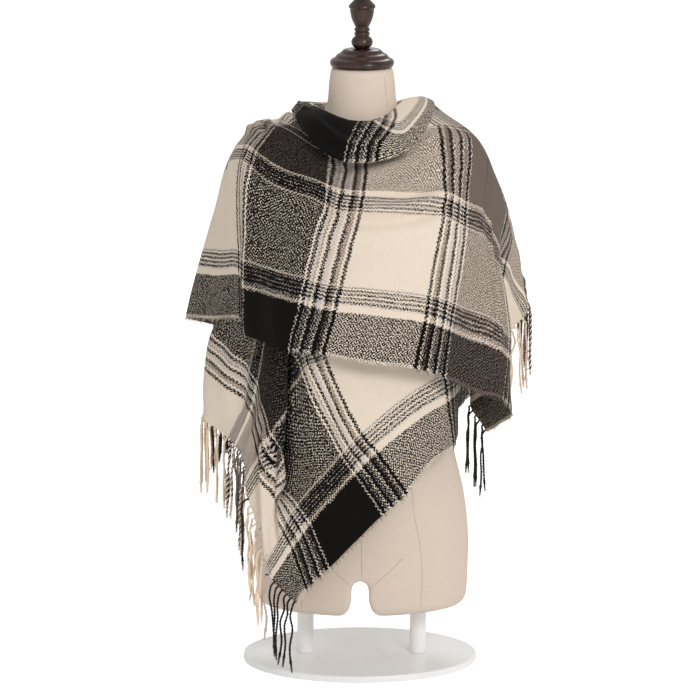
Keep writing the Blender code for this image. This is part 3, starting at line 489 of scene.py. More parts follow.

# %% [markdown]
# ## Creases
# Real cloth of this weight hangs in few, broad, soft folds, and no two are alike. Each line of
# the table is one of them: where it starts and ends on the sheet, how wide it is, how far it
# stands out (or sinks, when negative), and how much it bows, in cm. The sheet is moved along its
# own normal, so a crease bends cloth and stripes together, and it fades out at both ends.

# %% The table of creases
Fold = namedtuple("Fold", "u0 v0 u1 v1 width out bow")
FOLDS = [Fold(*row) for row in (
    # front panel: the shelf across the chest and the slack below it
    (151, 22.4, 170.5, 24.4, 1.2, 0.55, -2.2),
    (151, 20.3, 170.5, 22.3, 0.9, -0.55, -2.2),
    (160, 22, 170, 26.5, 1.1, -0.40, -0.6),
    (143.5, 27, 150, 16, 1.6, 0.35, 0.5),
    (158, 2, 160, 13, 2.4, 0.30, 0.6),
    (166.5, 0, 169.5, 15, 2, -0.28, -0.5),
    (148.5, 0, 147.5, 10, 1.8, 0.30, 0.4),
    (153, 0, 154, 7.5, 1.5, -0.28, 0.2),
    (172.5, 4, 176, 24, 1.7, 0.32, 0.8),
    (176.5, 2, 178, 19, 1.4, -0.25, -0.4),
    (156, 27, 166, 31, 1.2, 0.35, 0.5),
    (153, 29, 164, 33, 0.9, -0.30, 0.6),
    # left shoulder: the dimple and what radiates from it
    (137, 34, 141.5, 30.5, 0.9, -0.65, 0.3),
    (134, 33, 138.5, 28.5, 0.8, 0.45, 0.4),
    (126.5, 31, 138, 27.5, 1.3, 0.45, 1.2),
    (131, 25, 133, 8, 1.8, 0.40, 0.8),
    (136.5, 27, 138.5, 6, 1.5, -0.35, 0.7),
    (127, 18, 128.5, 0, 1.7, -0.40, -0.6),
    (140, 12, 141.5, 0, 1.6, 0.30, 0.3),
    # right arm and hem B
    (179.6, 33, 181.6, 3, 0.55, 0.35, 0.3),
    (181.5, 30, 185.5, 5, 1.9, 0.40, 0.9),
    (186.5, 27, 190, 9, 1.6, -0.35, -0.7),
    (190.5, 33, 199, 20, 1.8, 0.35, 1),
    (180.5, 41, 189, 32, 1.6, -0.40, 0.8),
    (184, 50, 197, 43, 2, 0.45, 1.2),
    (192, 52, 199, 36, 1.7, -0.40, -0.9),
    (193.5, 9, 199, 4, 1.3, 0.25, 0.4),
    # back: flutes of different depth falling from the neck
    (64, 30, 60.5, 0, 2, 0.55, 1.1),
    (71.5, 33, 73.5, 5, 2.4, -0.60, -0.8),
    (80.5, 24, 82.5, 0, 1.8, 0.45, 0.7),
    (86, 34, 87.5, 12, 1.5, 0.40, 0.4),
    (93.5, 28, 92, 0, 2.2, -0.60, 1),
    (101, 32, 102.5, 3, 1.9, 0.55, -0.9),
    (110, 20, 112, 0, 1.7, -0.45, 0.5),
    (117.5, 30, 118.5, 8, 1.6, 0.45, 0.8),
    (76, 29, 96, 31.5, 1.6, -0.35, 1.4),
    (56.5, 18, 55, 1, 1.5, -0.40, 0.5),
    # right side of the inner layer, and its drawn diagonals in front
    (42, 20, 44.5, 3, 1.6, 0.35, 0.5),
    (46.5, 31, 48, 9, 1.5, -0.35, -0.5),
    (33.5, 2, 26, 22, 2.2, 0.35, 1.2),
    (28, 0.5, 20, 15, 1.9, -0.30, 0.9),
    (24.5, 24, 12, 8, 1.9, 0.60, 0.3),
    (16, 1, 8.5, 14, 1.6, -0.30, 0.7),
    (9.5, 27.5, 0, 11, 0.8, 0.85, 0),
    (11.4, 26, 2.6, 8.8, 0.8, -0.95, 0),
    (3, 23.5, 12, 27, 1.5, -0.35, 0.8),
    (1.5, 31, 17, 34, 1.7, 0.45, -0.7),
    (2, 38.5, 14, 41, 1.4, -0.50, 0.6),
    (0.5, 45.5, 13, 48.5, 1.8, 0.45, 0.9),
    (1, 53.5, 12, 55, 1.5, -0.40, 0.5),
    # cowl: creases that follow the fold round the neck
    (146, 54, 164, 56.5, 0.9, -0.28, 0.5),
    (149, 57, 160, 58.5, 0.8, 0.22, 0.3),
    (126, 55.5, 142, 53, 0.9, -0.25, 0.6),
    (124, 40.5, 144, 38.5, 1.5, 0.70, 0.6),
    (131, 37.5, 140, 36, 0.8, -0.45, 0.4),
    (72, 55, 93, 56.5, 1, 0.30, 0.6),
    (98, 56, 116, 54.5, 0.9, -0.28, 0.5),
)]
# one fold of the inner layer is so deep that its left side laps over it: (line, x, y, z in cm)
TUCKS = (
    (Fold(22.5, 29.6, 7, 10.6, 2, 1, 0), (-1.5, 4.6, 0)),
    (Fold(21, 33, 5, 15.5, 1.4, 1, 0), (1.5, -0.6, 0)),
)
print("deepest trough:", min(fold.out for fold in FOLDS), "cm")

# %% How far the folds and the wavy edges move the cloth
FADE_START, FADE_RUN = 0.28, 0.16
RIM_DEPTH, RIM_AT = 0.35, 1.9
# waves along a free edge: (length in cm, start, height in cm)
EDGE_WAVES = ((7.3, 0.6, 0.10), (11.9, 2.1, 0.12), (4.6, 4.0, 0.05))
EDGE_REACH = 3.2


def bell(x):
    return np.exp(-x * x)


def across_fold(fold, u, v):
    """The distance from a fold's line, in cm, and how much of the fold is left there."""
    along = np.array((fold.u1 - fold.u0, fold.v1 - fold.v0), dtype=float)
    length = np.hypot(*along)
    along /= length
    s = ((u - fold.u0) * along[0] + (v - fold.v0) * along[1]) / length
    d = (v - fold.v0) * along[0] - (u - fold.u0) * along[1]
    d = d - fold.bow * 4 * np.clip(s, 0, 1) * (1 - np.clip(s, 0, 1))
    return d, bell(np.maximum(np.abs(s - 0.5) - FADE_START, 0) / FADE_RUN)


def flutter(at):
    return sum(out * np.sin(2 * pi * at / wave + start) for wave, start, out in EDGE_WAVES)


def creases(u, v):
    """How far, in cm, the cloth stands out of its smooth form at each place."""
    total = np.zeros(np.broadcast(u, v).shape)
    for fold in FOLDS:
        d, fade = across_fold(fold, u, v)
        rim = bell((np.abs(d) - RIM_AT * fold.width) / fold.width)
        total += fold.out * (bell(d / fold.width) - RIM_DEPTH * rim) * fade
    total += flutter(u) * np.exp(-v / EDGE_REACH)
    total += flutter(v) * (np.exp(-u / EDGE_REACH) + np.exp((u - LENGTH) / EDGE_REACH))
    return total


print("the outer edge at u = 150 stands out by", np.round(creases(150.0, 0.0), 2), "cm")

# %% [markdown]
# ## Hanging a piece of cloth
# A flat double grid is drawn first, because there its faces are certain to point outwards. Then
# every point of it is moved to its place on the form. The wall gets thinner toward a free edge,
# as a woven selvedge does, and the place (u, v) stays on the mesh as its UV map in metres, so
# that the woven check follows the threads.

# %% The creased surface
TUCK_SEEN, TURN_GAIN = 0.02, 4


def surface(stretch, us, vs):
    """Points and unit normals of the creased cloth."""
    normal = stretch.normals(us, vs)
    u, v = np.asarray(us)[:, None], np.asarray(vs)[None, :]
    points = stretch.grid(us, vs) + normal * (creases(u, v) * CM)[:, :, None]
    tucked = np.zeros((len(us), len(vs), 1))
    for line, move in TUCKS:
        d, fade = across_fold(line, u, v)
        share = (bell(d / line.width) * fade)[:, :, None]
        points += share * np.array(move) * CM
        tucked += share
    if min(len(us), len(vs)) > 2 and tucked.max() > TUCK_SEEN:
        # where the cloth laps over itself its wall has to turn with it
        turned = units(np.cross(np.gradient(points, axis=0), np.gradient(points, axis=1)))
        weight = np.clip(TURN_GAIN * tucked, 0, 1)
        normal = units(normal * (1 - weight) + turned * weight)
    return points, normal


print("the cloth at the chest:", np.round(surface(SHELL, (155.0,), (22.0,))[0][0, 0], 3))

# %% A helper that hangs one piece
WALL = 0.0023
CELL = 0.42
EDGE_TAPER, THIN_EDGE = 0.5, 0.45
CLOTH_CORNER = radians(50)


def even(start, end, cell=CELL):
    return np.linspace(start, end, max(2, round(abs(end - start) / cell)) + 1)


def edge_share(us, vs, free):
    """1 inside the cloth, and down to 0 on the edges that are named as free."""
    u, v = us[:, None], vs[None, :]
    inward = {"outer": v - vs[0], "collar": vs[-1] - v, "hem A": u - us[0], "hem B": us[-1] - u}
    share = np.ones((len(us), len(vs)))
    for edge in free:
        share = np.minimum(share, np.clip(inward[edge] / EDGE_TAPER, 0, 1))
    return share


def hang(name, stretch, us, vs, free=(), threads=drawn):
    """A double grid that is moved to its place, with the thread at each place as its UV."""
    bm = bmesh.new()
    bmesh.ops.create_grid(bm, x_segments=len(us) - 1, y_segments=len(vs) - 1, size=0.5)
    for vert in new_points(bmesh.ops.extrude_face_region(bm, geom=bm.faces[:])):
        vert.co.z = 1.0
    bmesh.ops.recalc_face_normals(bm, faces=bm.faces)
    mesh = mesh_from(bm, name)

    flat = np.empty(len(mesh.vertices) * 3, dtype=np.float32)
    mesh.vertices.foreach_get("co", flat)
    flat = flat.reshape(-1, 3)
    i = np.rint((flat[:, 0] + 0.5) * (len(us) - 1)).astype(int)
    j = np.rint((flat[:, 1] + 0.5) * (len(vs) - 1)).astype(int)
    points, normals = surface(stretch, us, vs)
    wall = WALL * (THIN_EDGE + (1 - THIN_EDGE) * np.sqrt(edge_share(us, vs, free)))
    side = (flat[:, 2] - 0.5) * wall[i, j]
    hung = points[i, j] + normals[i, j] * side[:, None]
    mesh.vertices.foreach_set("co", hung.astype(np.float32).ravel())

    corners = np.empty(len(mesh.loops), dtype=np.int32)
    mesh.loops.foreach_get("vertex_index", corners)
    place = (np.stack(threads(us[i], vs[j]), axis=1) * CM)[corners]
    mesh.uv_layers.new(name="cloth").data.foreach_set("uv", place.astype(np.float32).ravel())
    mesh.shade_smooth()
    mesh.set_sharp_from_angle(angle=CLOTH_CORNER)
    mesh.update()
    piece = add(name, mesh)
    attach(piece, "root")
    return piece


print("a cell of the cloth:", CELL, "cm")

# %% [markdown]
# ## Short names for shader nodes
# A material is a small diagram of boxes and wires. The helpers below add a box and wire its
# inputs in the same line. A Value stands for one output, and each sign between values adds a
# Math box, so that the recipe of a yarn can be read from top to bottom like a sum.


# %% Values that can be added and multiplied
def linear(red, green, blue):
    """A colour given as it looks on a screen, 0 to 255, as linear light."""
    return tuple(
        c / 255 / 12.92 if c / 255 <= 0.04045 else ((c / 255 + 0.055) / 1.055) ** 2.4
        for c in (red, green, blue)
    ) + (1.0,)


class Value:
    """One output in a diagram. Each sign between two of them adds a Math box."""

    def __init__(self, diagram, socket):
        self.diagram, self.socket = diagram, socket

    def math(self, operation, *others):
        return self.diagram.value("Math", self, *others, operation=operation)

    def __rsub__(self, other):
        return self.diagram.value("Math", other, self, operation="SUBTRACT")

    __add__ = partialmethod(math, "ADD")
    __sub__ = partialmethod(math, "SUBTRACT")
    __mul__ = partialmethod(math, "MULTIPLY")
    __truediv__ = partialmethod(math, "DIVIDE")
    __lt__ = partialmethod(math, "LESS_THAN")
    __gt__ = partialmethod(math, "GREATER_THAN")
    __abs__ = partialmethod(math, "ABSOLUTE")

    def wave(self, pitch):
        """A sine wave that repeats every pitch."""
        return (self * (2 * pi / pitch)).math("SINE")

    def step(self, low, high):
        """0 up to low, 1 from high on, and smooth between them."""
        return self.diagram.value(
            "MapRange", self, low, high, 0.0, 1.0, interpolation_type="SMOOTHSTEP"
        )


print("black yarn as light:", [round(c, 4) for c in linear(17, 14, 12)])


# %% The boxes of a diagram
class Diagram:
    def __init__(self, tree):
        self.tree = tree

    def wire(self, socket, value):
        value = value.socket if isinstance(value, Value) else value
        if isinstance(value, bpy.types.NodeSocket):
            self.tree.links.new(value, socket)
        else:
            socket.default_value = value

    def box(self, kind, *values, **settings):
        node = self.tree.nodes.new("ShaderNode" + kind)
        for key, value in settings.items():
            setattr(node, key, value)
        for socket, value in zip(node.inputs, values):
            self.wire(socket, value)
        return node

    def value(self, kind, *values, output=0, **settings):
        return Value(self, self.box(kind, *values, **settings).outputs[output])

    def vector(self, x, y, z):
        return self.value("CombineXYZ", x, y, z)

    def parts(self, vector):
        return [Value(self, part) for part in self.box("SeparateXYZ", vector).outputs]

    def here(self):
        """The place on the piece, in metres."""
        return self.value("TexCoord", output="Object")

    def blend(self, factor, first, second, how="MIX"):
        node = self.box("Mix", data_type="RGBA", blend_type=how)
        for number, value in ((0, factor), (6, first), (7, second)):
            self.wire(node.inputs[number], value)
        return Value(self, node.outputs[2])

    def toned(self, colour, red, green=None, blue=None):
        """The colour times a tone, which is grey where only one number is given."""
        tone = self.value("CombineColor", red, green or red, blue or red)
        return self.blend(1.0, colour, tone, how="MULTIPLY")

    def noise(self, vector, scale, detail=2.0, rough=0.5):
        node = self.box("TexNoise")
        inputs = {"Vector": vector, "Scale": scale, "Detail": detail, "Roughness": rough}
        for name, value in inputs.items():
            self.wire(node.inputs[name], value)
        return Value(self, node.outputs[0])

    def bands(self, value, stops):
        """Flat bands of colour: each stop is (where it starts, colour)."""
        node = self.box("ValToRGB", value)
        ramp = node.color_ramp
        ramp.interpolation = "CONSTANT"
        for number, (start, colour) in enumerate(stops):
            element = ramp.elements[number] if number < 2 else ramp.elements.new(start)
            element.position = start
            element.color = colour
        return Value(self, node.outputs[0])

    def use(self, group, **values):
        """A group's outputs, by name, from values for its inputs."""
        node = self.tree.nodes.new("ShaderNodeGroup")
        node.node_tree = group
        for socket, value in values.items():
            self.wire(node.inputs[socket], value)
        return {output.name: Value(self, output) for output in node.outputs}


def new_group(name, inputs, outputs):
    """An empty node group: its tree, its diagram, its input values and its result box."""
    tree = bpy.data.node_groups.new(name, "ShaderNodeTree")
    for sockets, way in ((inputs, "INPUT"), (outputs, "OUTPUT")):
        for socket, kind in sockets.items():
            tree.interface.new_socket(socket, in_out=way, socket_type="NodeSocket" + kind)
    d = Diagram(tree)
    given = tree.nodes.new("NodeGroupInput")
    values = {name: Value(d, given.outputs[name]) for name in inputs}
    return tree, d, values, tree.nodes.new("NodeGroupOutput")


def new_material(name, roughness, **sockets):
    made = bpy.data.materials.new(name)
    made.use_nodes = True
    shader = made.node_tree.nodes["Principled BSDF"]
    shader.inputs["Roughness"].default_value = roughness
    for socket, value in sockets.items():
        shader.inputs[socket.replace("_", " ")].default_value = value
    return made, Diagram(made.node_tree), shader


def add_bump(d, shader, height, strength, distance):
    bump = d.box("Bump")
    inputs = {"Strength": strength, "Distance": distance, "Height": height}
    for name, value in inputs.items():
        d.wire(bump.inputs[name], value)
    d.wire(shader.inputs["Normal"], bump.outputs[0])


print("materials of the CAD pieces:", len(bpy.data.materials))

# %% [markdown]
# ## The yarns of the check
# The check has only four yarns: cream, a pale grey, taupe and black. A little sand is spun into
# the fine lines. Along the width the warp changes colour, and along the length the weft does.
# Both orders are symmetrical, so each one is written once from the middle outwards. A picture
# could hold the check too, but bands that are computed stay sharp at any size.

# %% Colours of the yarns
CREAM = linear(238, 222, 203)
MIST = linear(203, 193, 187)
SAND = linear(150, 131, 116)
TAUPE = linear(115, 102, 93)
BLACK = linear(17, 14, 12)

# the narrow band beside a dark block, from the dark side: (width in cm, yarn)
LINE_BAND = (
    (0.34, CREAM), (0.46, BLACK), (0.34, MIST), (0.26, SAND), (0.42, CREAM), (0.52, BLACK),
    (0.66, MIST), (0.34, CREAM), (0.52, BLACK), (0.46, SAND), (0.42, CREAM), (0.51, BLACK),
)
# the fine lines across the width, from the middle outwards
FINE_LINES = (
    (0.22, MIST), (0.34, BLACK), (0.24, MIST), (0.34, BLACK), (0.26, CREAM),
    (0.34, BLACK), (0.24, MIST), (0.34, BLACK), (0.22, CREAM), (0.16, BLACK), (0.20, MIST),
)
print("line band", round(sum(width for width, _ in LINE_BAND), 2), "cm")

# %% Groups that tell the colour of the yarns at a place
REPEAT = 65.3
TAUPE_MIDDLE = 48.1
# from the middle of a taupe block, along the length, in cm
HALF_TAUPE, CREAM_START, CREAM_END, BLACK_START = 4.75, 10.0, 22.4, 27.65
HALF_WIDTH = WIDTH / 2
# from the middle of the sheet, across its width, in cm
TAUPE_ROW_END, INNER_LINES, CREAM_ROW = 5.2, 6.1, 9.0
OUTER_LINES, OUTER_STRIPE, BLACK_ROW = 20.0, 22.9, 23.8


def band_stops(start, band):
    stops, at = [], start
    for width, yarn in band:
        stops.append((at, yarn))
        at += width
    return stops


def yarn_group(name, direction, middle, half, stops, repeats):
    """The yarn at a place in cm: bands that are the same on both sides of the middle."""
    tree, d, given, result = new_group(name, {direction: "Float"}, {"Color": "Color"})
    apart = abs(given[direction] - middle)
    if repeats:
        apart = apart.math("PINGPONG", half)
    shade = d.bands(apart / half, [(at / half, yarn) for at, yarn in stops])
    d.wire(result.inputs["Color"], shade)
    return tree


WEFT = yarn_group(
    "weft_yarn", "u", TAUPE_MIDDLE, REPEAT / 2,
    [(0.0, TAUPE), *band_stops(HALF_TAUPE, LINE_BAND), (CREAM_START, CREAM),
     *band_stops(CREAM_END, LINE_BAND[::-1]), (BLACK_START, BLACK)],
    repeats=True,
)
WARP = yarn_group(
    "warp_yarn", "v", HALF_WIDTH, HALF_WIDTH,
    [(0.0, TAUPE), (TAUPE_ROW_END, CREAM), *band_stops(INNER_LINES, FINE_LINES),
     (CREAM_ROW, CREAM), *band_stops(OUTER_LINES, FINE_LINES[::-1]),
     (OUTER_STRIPE, CREAM), (BLACK_ROW, BLACK)],
    repeats=False,
)
print("groups:", WEFT.name, WARP.name)

# %% [markdown]
# ## The weave
# At any place either the warp or the weft lies on top. Where they differ in colour this makes
# the salt and pepper of the melange blocks, and where they are alike the block is plain. The
# mask below is fine, irregular and slightly diagonal, because the yarn is thick and brushed.
# Thin zigzag floats edge the fine lines, as the real weave has them. The darker yarn is fuller
# and hides more of the pale one. Over the left arm and near both hems the black warp is made to
# hide still more, which is painted shade on those parts. Every thread could be modelled too, but
# there are thousands, and a mask shows the same mixture.

# %% Measures of the weave
# how far threads stray from a straight line: slowly, quickly, and the mean of both, in cm
STRAY_SLOW, STRAY_QUICK, STRAY_MEAN = 0.30, 0.16, 0.23
# stitches that run to and fro: (length, how far they lean, mean lean), in cm
ZIGZAG, STITCH = (0.27, 0.55, 0.075), (0.29, 0.85, 0.123)
# how light a yarn is, as steps that tell the yarns from each other
PALE, DIFFERENT, CREAM_ONLY, PAST_TAUPE = (0.03, 0.09), (0.02, 0.10), (0.56, 0.70), (0.15, 0.20)
# how much of the other yarn is hidden: (by black, less by pale yarn)
WEFT_COVER, WARP_COVER = (0.095, 0.038), (0.042, 0.020)
# more black over the fine lines on a black row; and painted shade: more black warp over the left
# arm and near both hems
THIN_COVER, SHADE_COVER = 0.055, 0.046
# where that painted shade fades in and out along the length, in cm
ARM_SHADE_START, ARM_SHADE_END = (117.0, 121.0), (137.0, 142.0)
HEM_A_SHADE, HEM_B_SHADE = (7.0, 4.0), (186.0, 190.0)
# two fine diagonals: (pitch in cm, strength)
RISING, FALLING = (0.47, 0.055), (0.43, 0.050)
SOFT_EDGE = 0.028
# slanting floats beside the fine lines, and loops on the selvedge, in cm
FLOAT_LINES = (TAUPE_ROW_END + 0.30, CREAM_ROW - 0.02, OUTER_LINES + 0.05, BLACK_ROW - 0.30)
FLOAT_PITCH, FLOAT_HALF, FLOAT_SHARE = 0.46, 0.17, 0.66
LOOP_PITCH, LOOPS_FROM, LOOP_SHARE = 0.40, 29.62, 0.85
print("places with floats:", len(FLOAT_LINES))


# %% The weave mask, the check and its height
def weave_group():
    tree, d, given, result = new_group(
        "woven_check", {"Cloth": "Vector", "Fineness": "Float"},
        {"Color": "Color", "Height": "Float"},
    )
    u, v = (part * (1 / CM) for part in d.parts(given["Cloth"])[:2])
    cloth = d.vector(u, v, 0.0)

    # threads are never quite straight
    slow, quick = d.noise(cloth, 0.55, 2.0), d.noise(d.vector(v, u, 7.0), 1.9, 1.0)
    stray = slow * STRAY_SLOW + quick * STRAY_QUICK - STRAY_MEAN
    zigzag, stitch = (
        at.math("PINGPONG", length) * lean - mean
        for at, (length, lean, mean) in ((u, ZIGZAG), (v, STITCH))
    )
    weft = d.use(WEFT, u=u + stray + stitch)["Color"]
    warp = d.use(WARP, v=v + stray + zigzag)["Color"]

    # which of the two lies on top
    warp_light, weft_light = d.value("RGBToBW", warp), d.value("RGBToBW", weft)
    darker = warp_light - weft_light
    black_warp = 1.0 - warp_light.step(*PALE)
    weft_fuller = WEFT_COVER[0] - weft_light.step(*PALE) * WEFT_COVER[1]
    warp_fuller = WARP_COVER[0] - warp_light.step(*PALE) * WARP_COVER[1]
    thin_on_black = (1.0 - weft_light.step(*CREAM_ONLY)) * black_warp * THIN_COVER
    warp_fuller = warp_fuller + thin_on_black * weft_light.step(*PAST_TAUPE)
    # painted shade: the black warp covers more over the left arm and near both hems, so they come
    # out darker
    arm_shade = u.step(*ARM_SHADE_START) - u.step(*ARM_SHADE_END)
    painted_shade = arm_shade + (u.step(*HEM_A_SHADE) + u.step(*HEM_B_SHADE))
    warp_fuller = warp_fuller + painted_shade * black_warp * SHADE_COVER
    hidden = darker.step(*DIFFERENT) * weft_fuller
    shown = (0.0 - darker).step(*DIFFERENT) * warp_fuller
    threshold = 0.5 - hidden + shown
    top = d.noise(cloth, given["Fineness"], 1.5, 0.6)
    for slant, (pitch, strength) in ((u + v, RISING), (u - v, FALLING)):
        top = top + slant.wave(pitch) * strength
    weft_on_top = top.step(threshold - SOFT_EDGE, threshold + SOFT_EDGE)
    shade = d.blend(weft_on_top, warp, weft)

    # slanting floats, like a laid cord, beside the fine lines
    apart = abs(v + stray - HALF_WIDTH)
    floats = None
    for place in FLOAT_LINES:
        off = apart - place
        line = (abs(off) < FLOAT_HALF) * (u + off).wave(FLOAT_PITCH).step(-0.5, 0.3)
        floats = floats.math("MAXIMUM", line) if floats else line
    shade = d.blend(floats * FLOAT_SHARE, shade, CREAM)

    # the weft turns in small loops on the selvedge
    on_edge = abs(v - HALF_WIDTH) > LOOPS_FROM
    loops = on_edge * (u - v).wave(LOOP_PITCH).step(-0.7, 0.1)
    shade = d.blend(loops * LOOP_SHARE, shade, weft)

    # brushed nap and uneven dye
    nap = d.noise(d.vector(u * 5.0, v, 3.0), 1.6, 3.0, 0.6)
    fibre = d.noise(cloth, 14.0, 2.0, 0.7)
    d.wire(result.inputs["Color"], d.toned(shade, nap * 0.16 + fibre * 0.22 + 0.81))
    d.wire(result.inputs["Height"], weft_on_top * 0.5 + fibre * 0.6 + nap * 0.5)
    return tree


WEAVE = weave_group()
print("weave nodes:", len(WEAVE.nodes))


# %% The scarf's material
def scarf_material():
    made, d, shader = new_material(
        "woven_scarf_cloth", 0.95, Sheen_Weight=0.04, Sheen_Roughness=0.5,
        Specular_IOR_Level=0.1,
    )
    weave = d.use(WEAVE, Cloth=d.value("UVMap", uv_map="cloth"), Fineness=5.6)
    d.wire(shader.inputs["Base Color"], weave["Color"])
    add_bump(d, shader, weave["Height"], strength=0.55, distance=0.0007)
    return made


SCARF = scarf_material()
print("material:", SCARF.name)

# %% [markdown]
# ## The pieces of the scarf
# One piece stands for each CAD wall, with the same borders. Neighbours share their border
# exactly, in shape and in (u, v), so the check runs on over it and no join shows.

# %% Hang every piece
COWL_CELL = 0.3
COWL_START, COWL_END = 56.0, 177.0


def scarf_piece(name, stretch, us, vs, free=(), threads=drawn):
    piece = hang(name + "_cloth", stretch, us, vs, free, threads)
    piece.data.materials.append(SCARF)
    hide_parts(name)
    print(name, len(piece.data.polygons), "faces")


low_v, cowl_v = even(0, SHELL_TOP), even(SHELL_TOP, WIDTH, COWL_CELL)
end_v = np.concatenate((low_v, even(SHELL_TOP, END_TOP)[1:]))
under_v = np.concatenate((low_v, even(SHELL_TOP, WIDTH)[1:]))
selvedges = ("outer", "collar")
scarf_piece("scarf_front", SHELL, even(FRONT_START, FRONT_END), low_v, ("outer",))
scarf_piece("scarf_left_side", SHELL, even(BACK_END, FRONT_START), low_v, ("outer",))
scarf_piece("scarf_back", SHELL, even(BACK_START, BACK_END), low_v, ("outer",))
scarf_piece("scarf_under_right", SHELL, even(INNER_END, BACK_START), low_v, ("outer",))
scarf_piece("scarf_right_end", END, even(FRONT_END, LENGTH), end_v, (*selvedges, "hem B"))
scarf_piece(
    "scarf_right_shoulder", END, even(165.5, FRONT_END), even(SHELL_TOP, END_TOP), ("collar",)
)
scarf_piece("scarf_under_front", UNDER, even(0.0, INNER_END), under_v, (*selvedges, "hem A"))
scarf_piece("scarf_collar_front", COWL, even(BACK_END, COWL_END), cowl_v, ("collar",), gathered)
scarf_piece("scarf_collar_back", COWL, even(COWL_START, BACK_END), cowl_v, ("collar",), gathered)

# %% [markdown]
# ## The twisted fringe
# At both hems the warp ends are gathered and twisted in pairs into strands, each closed with a
# small knot. Each strand is two thin plies wound round each other. They are drawn as curves,
# because a curve keeps its roundness along a winding path, and are made a mesh at the end.
# Flat strips with a picture of yarn would be lighter, but they are thin when seen from the side.
# The colour of a ply is the colour of the warp where it leaves the hem.

# %% Where the strands leave a hem
STRAND_LENGTH, STRAND_WIDTH = 0.102, 0.0036
STRAND_SPACING, STRAND_ROW = 0.0054, 0.0027
# from the hem to the strand's root, past the strip that binds it, and from there to its bend
STRIP, ROOT_GAP, ROOT_TO_BEND = 0.0040, 0.0004, 0.0045
# steps along the hem, in cm: of its line, of the search for a free place, to the next strand
HEM_CELL, SEARCH_STEP, NEXT_STRAND = 0.5, 0.1, 1.0


class Hem:
    """A short hem: points, normals and the direction away from the cloth at places v."""

    def __init__(self, stretch, u, outward, low, high):
        self.vs = even(low, high, HEM_CELL)
        here, normal = surface(stretch, np.array((u,)), self.vs)
        inner, _ = surface(stretch, np.array((u - outward,)), self.vs)
        self.points, self.normals, inner = here[0], normal[0], inner[0]
        away = units(np.cross(self.normals, np.gradient(self.points, axis=0)))
        facing = np.sign(np.sum(away * (self.points - inner), axis=1))
        self.away = away * facing[:, None]
        self.hung = []

    def at(self, v):
        return tuple(
            np.array([np.interp(v, self.vs, values[:, k]) for k in range(3)])
            for values in (self.points, self.normals, self.away)
        )

    def line(self, v, row):
        """A strand's root, its bend, and how far its row stands in front or behind."""
        point, normal, away = self.at(v)
        away = units(away)
        offset = units(np.array((normal[0], normal[1], 0.0))) * STRAND_ROW * row
        root = point + away * (ROOT_GAP + STRIP)
        return root, root + away * ROOT_TO_BEND + offset, offset

    def next_strand(self, v, end):
        """The next place from v on where a strand hangs clear of the others, and its row."""
        row = (-1, 1)[len(self.hung) % 2]
        while v < end:
            bend = self.line(v, row)[1]
            if all(np.hypot(*(bend - other)[:2]) > STRAND_SPACING for other in self.hung):
                self.hung.append(bend)
                return v, row
            v += SEARCH_STEP
        return None, row


HEM_A = Hem(UNDER, 0.0, -1, 0.0, WIDTH)
HEM_B = Hem(END, LENGTH, 1, 0.0, END_TOP)
print("hem A runs", np.round(np.linalg.norm(np.diff(HEM_A.points, axis=0), axis=1).sum(), 3), "m")

# %% One strand as two winding plies
SAMPLES = 46
LENGTH_SHARES, LENGTH_SPREAD = (1.0, 0.95, 0.98), (0.93, 1.02)
LEAN, LEAN_TURN, CURL = 0.0024, 0.9, 0.0022
INSIDE_HEM, OVER_HEM, FIRST_DROP = 0.0035, 0.003, 0.016
PLY, PLY_REACH, TWIST_PITCH, PLY_APART = 0.00112, 0.86, 0.0085, 0.34
ASIDE = (0.31, 0.95, 0.05)
KNOT_AT, KNOT_WIDTH, KNOT_SWELL = 0.86, 0.022, 0.75
TUFT_GAP, TUFT_RUN, TUFT_THIN, TUFT_SPREAD = 0.03, 0.1, 0.45, 0.5


def strand_path(hem, v, row, number):
    """The middle line of a strand: out of the hem, over, and down with a little sway."""
    point, normal, away = hem.at(v)
    root, bend, offset = hem.line(v, row)
    down = np.array((0.0, 0.0, -1.0))
    side = units(np.cross(down, units(normal)))
    length = STRAND_LENGTH * LENGTH_SHARES[number % 3] * random.uniform(*LENGTH_SPREAD)
    lean = LEAN * sin(v * LEAN_TURN) + random.uniform(-LEAN, LEAN)
    curl = random.uniform(-CURL, CURL)
    controls = np.array((
        point - away * INSIDE_HEM,
        root,
        root * 0.4 + bend * 0.6 + offset * 0.4 + down * OVER_HEM,
        bend + down * FIRST_DROP + side * curl,
        bend + down * length * 0.35 + side * (lean * 0.6 - curl),
        bend + down * length * 0.65 + side * (lean * 1.2 + curl) + offset * 0.3,
        bend + down * length + side * (lean * 1.7 - curl) + offset * 0.2,
    ))
    gaps = np.linalg.norm(np.diff(controls, axis=0), axis=1)
    knots = np.concatenate(((0.0,), np.cumsum(gaps)))
    at = np.linspace(0.0, knots[-1], SAMPLES)
    return through(knots, controls, at), at


def add_plies(curve, path, at):
    """Two plies wound round the path, with a knot near its end and a loose tuft below."""
    tangent = units(np.gradient(path, axis=0))
    first = units(np.cross(tangent, ASIDE))
    second = np.cross(tangent, first)
    share = at / at[-1]
    tuft = np.clip((share - KNOT_AT - TUFT_GAP) / TUFT_RUN, 0, 1)
    swell = 1.0 + KNOT_SWELL * bell((share - KNOT_AT) / KNOT_WIDTH) - TUFT_THIN * tuft
    reach = (PLY * PLY_REACH * (1.0 + TUFT_SPREAD * tuft))[:, None]
    start = random.uniform(0, 2 * pi)
    for ply in (0, 1):
        turn = (start + 2 * pi * at / TWIST_PITCH + pi * ply)[:, None]
        add_line(curve, path + (first * np.cos(turn) + second * np.sin(turn)) * reach, swell)


print("a strand is", STRAND_LENGTH, "m long, in", SAMPLES, "steps")

# %% [markdown]
# ## Colour and sheen of the strands
# A twisted yarn looks a little lighter than the same yarn in the cloth, and warmer, because
# light gets in between the plies. Its colour is read from the warp by an attribute that holds
# the place across the hem. A fine noise stands for single fibres.


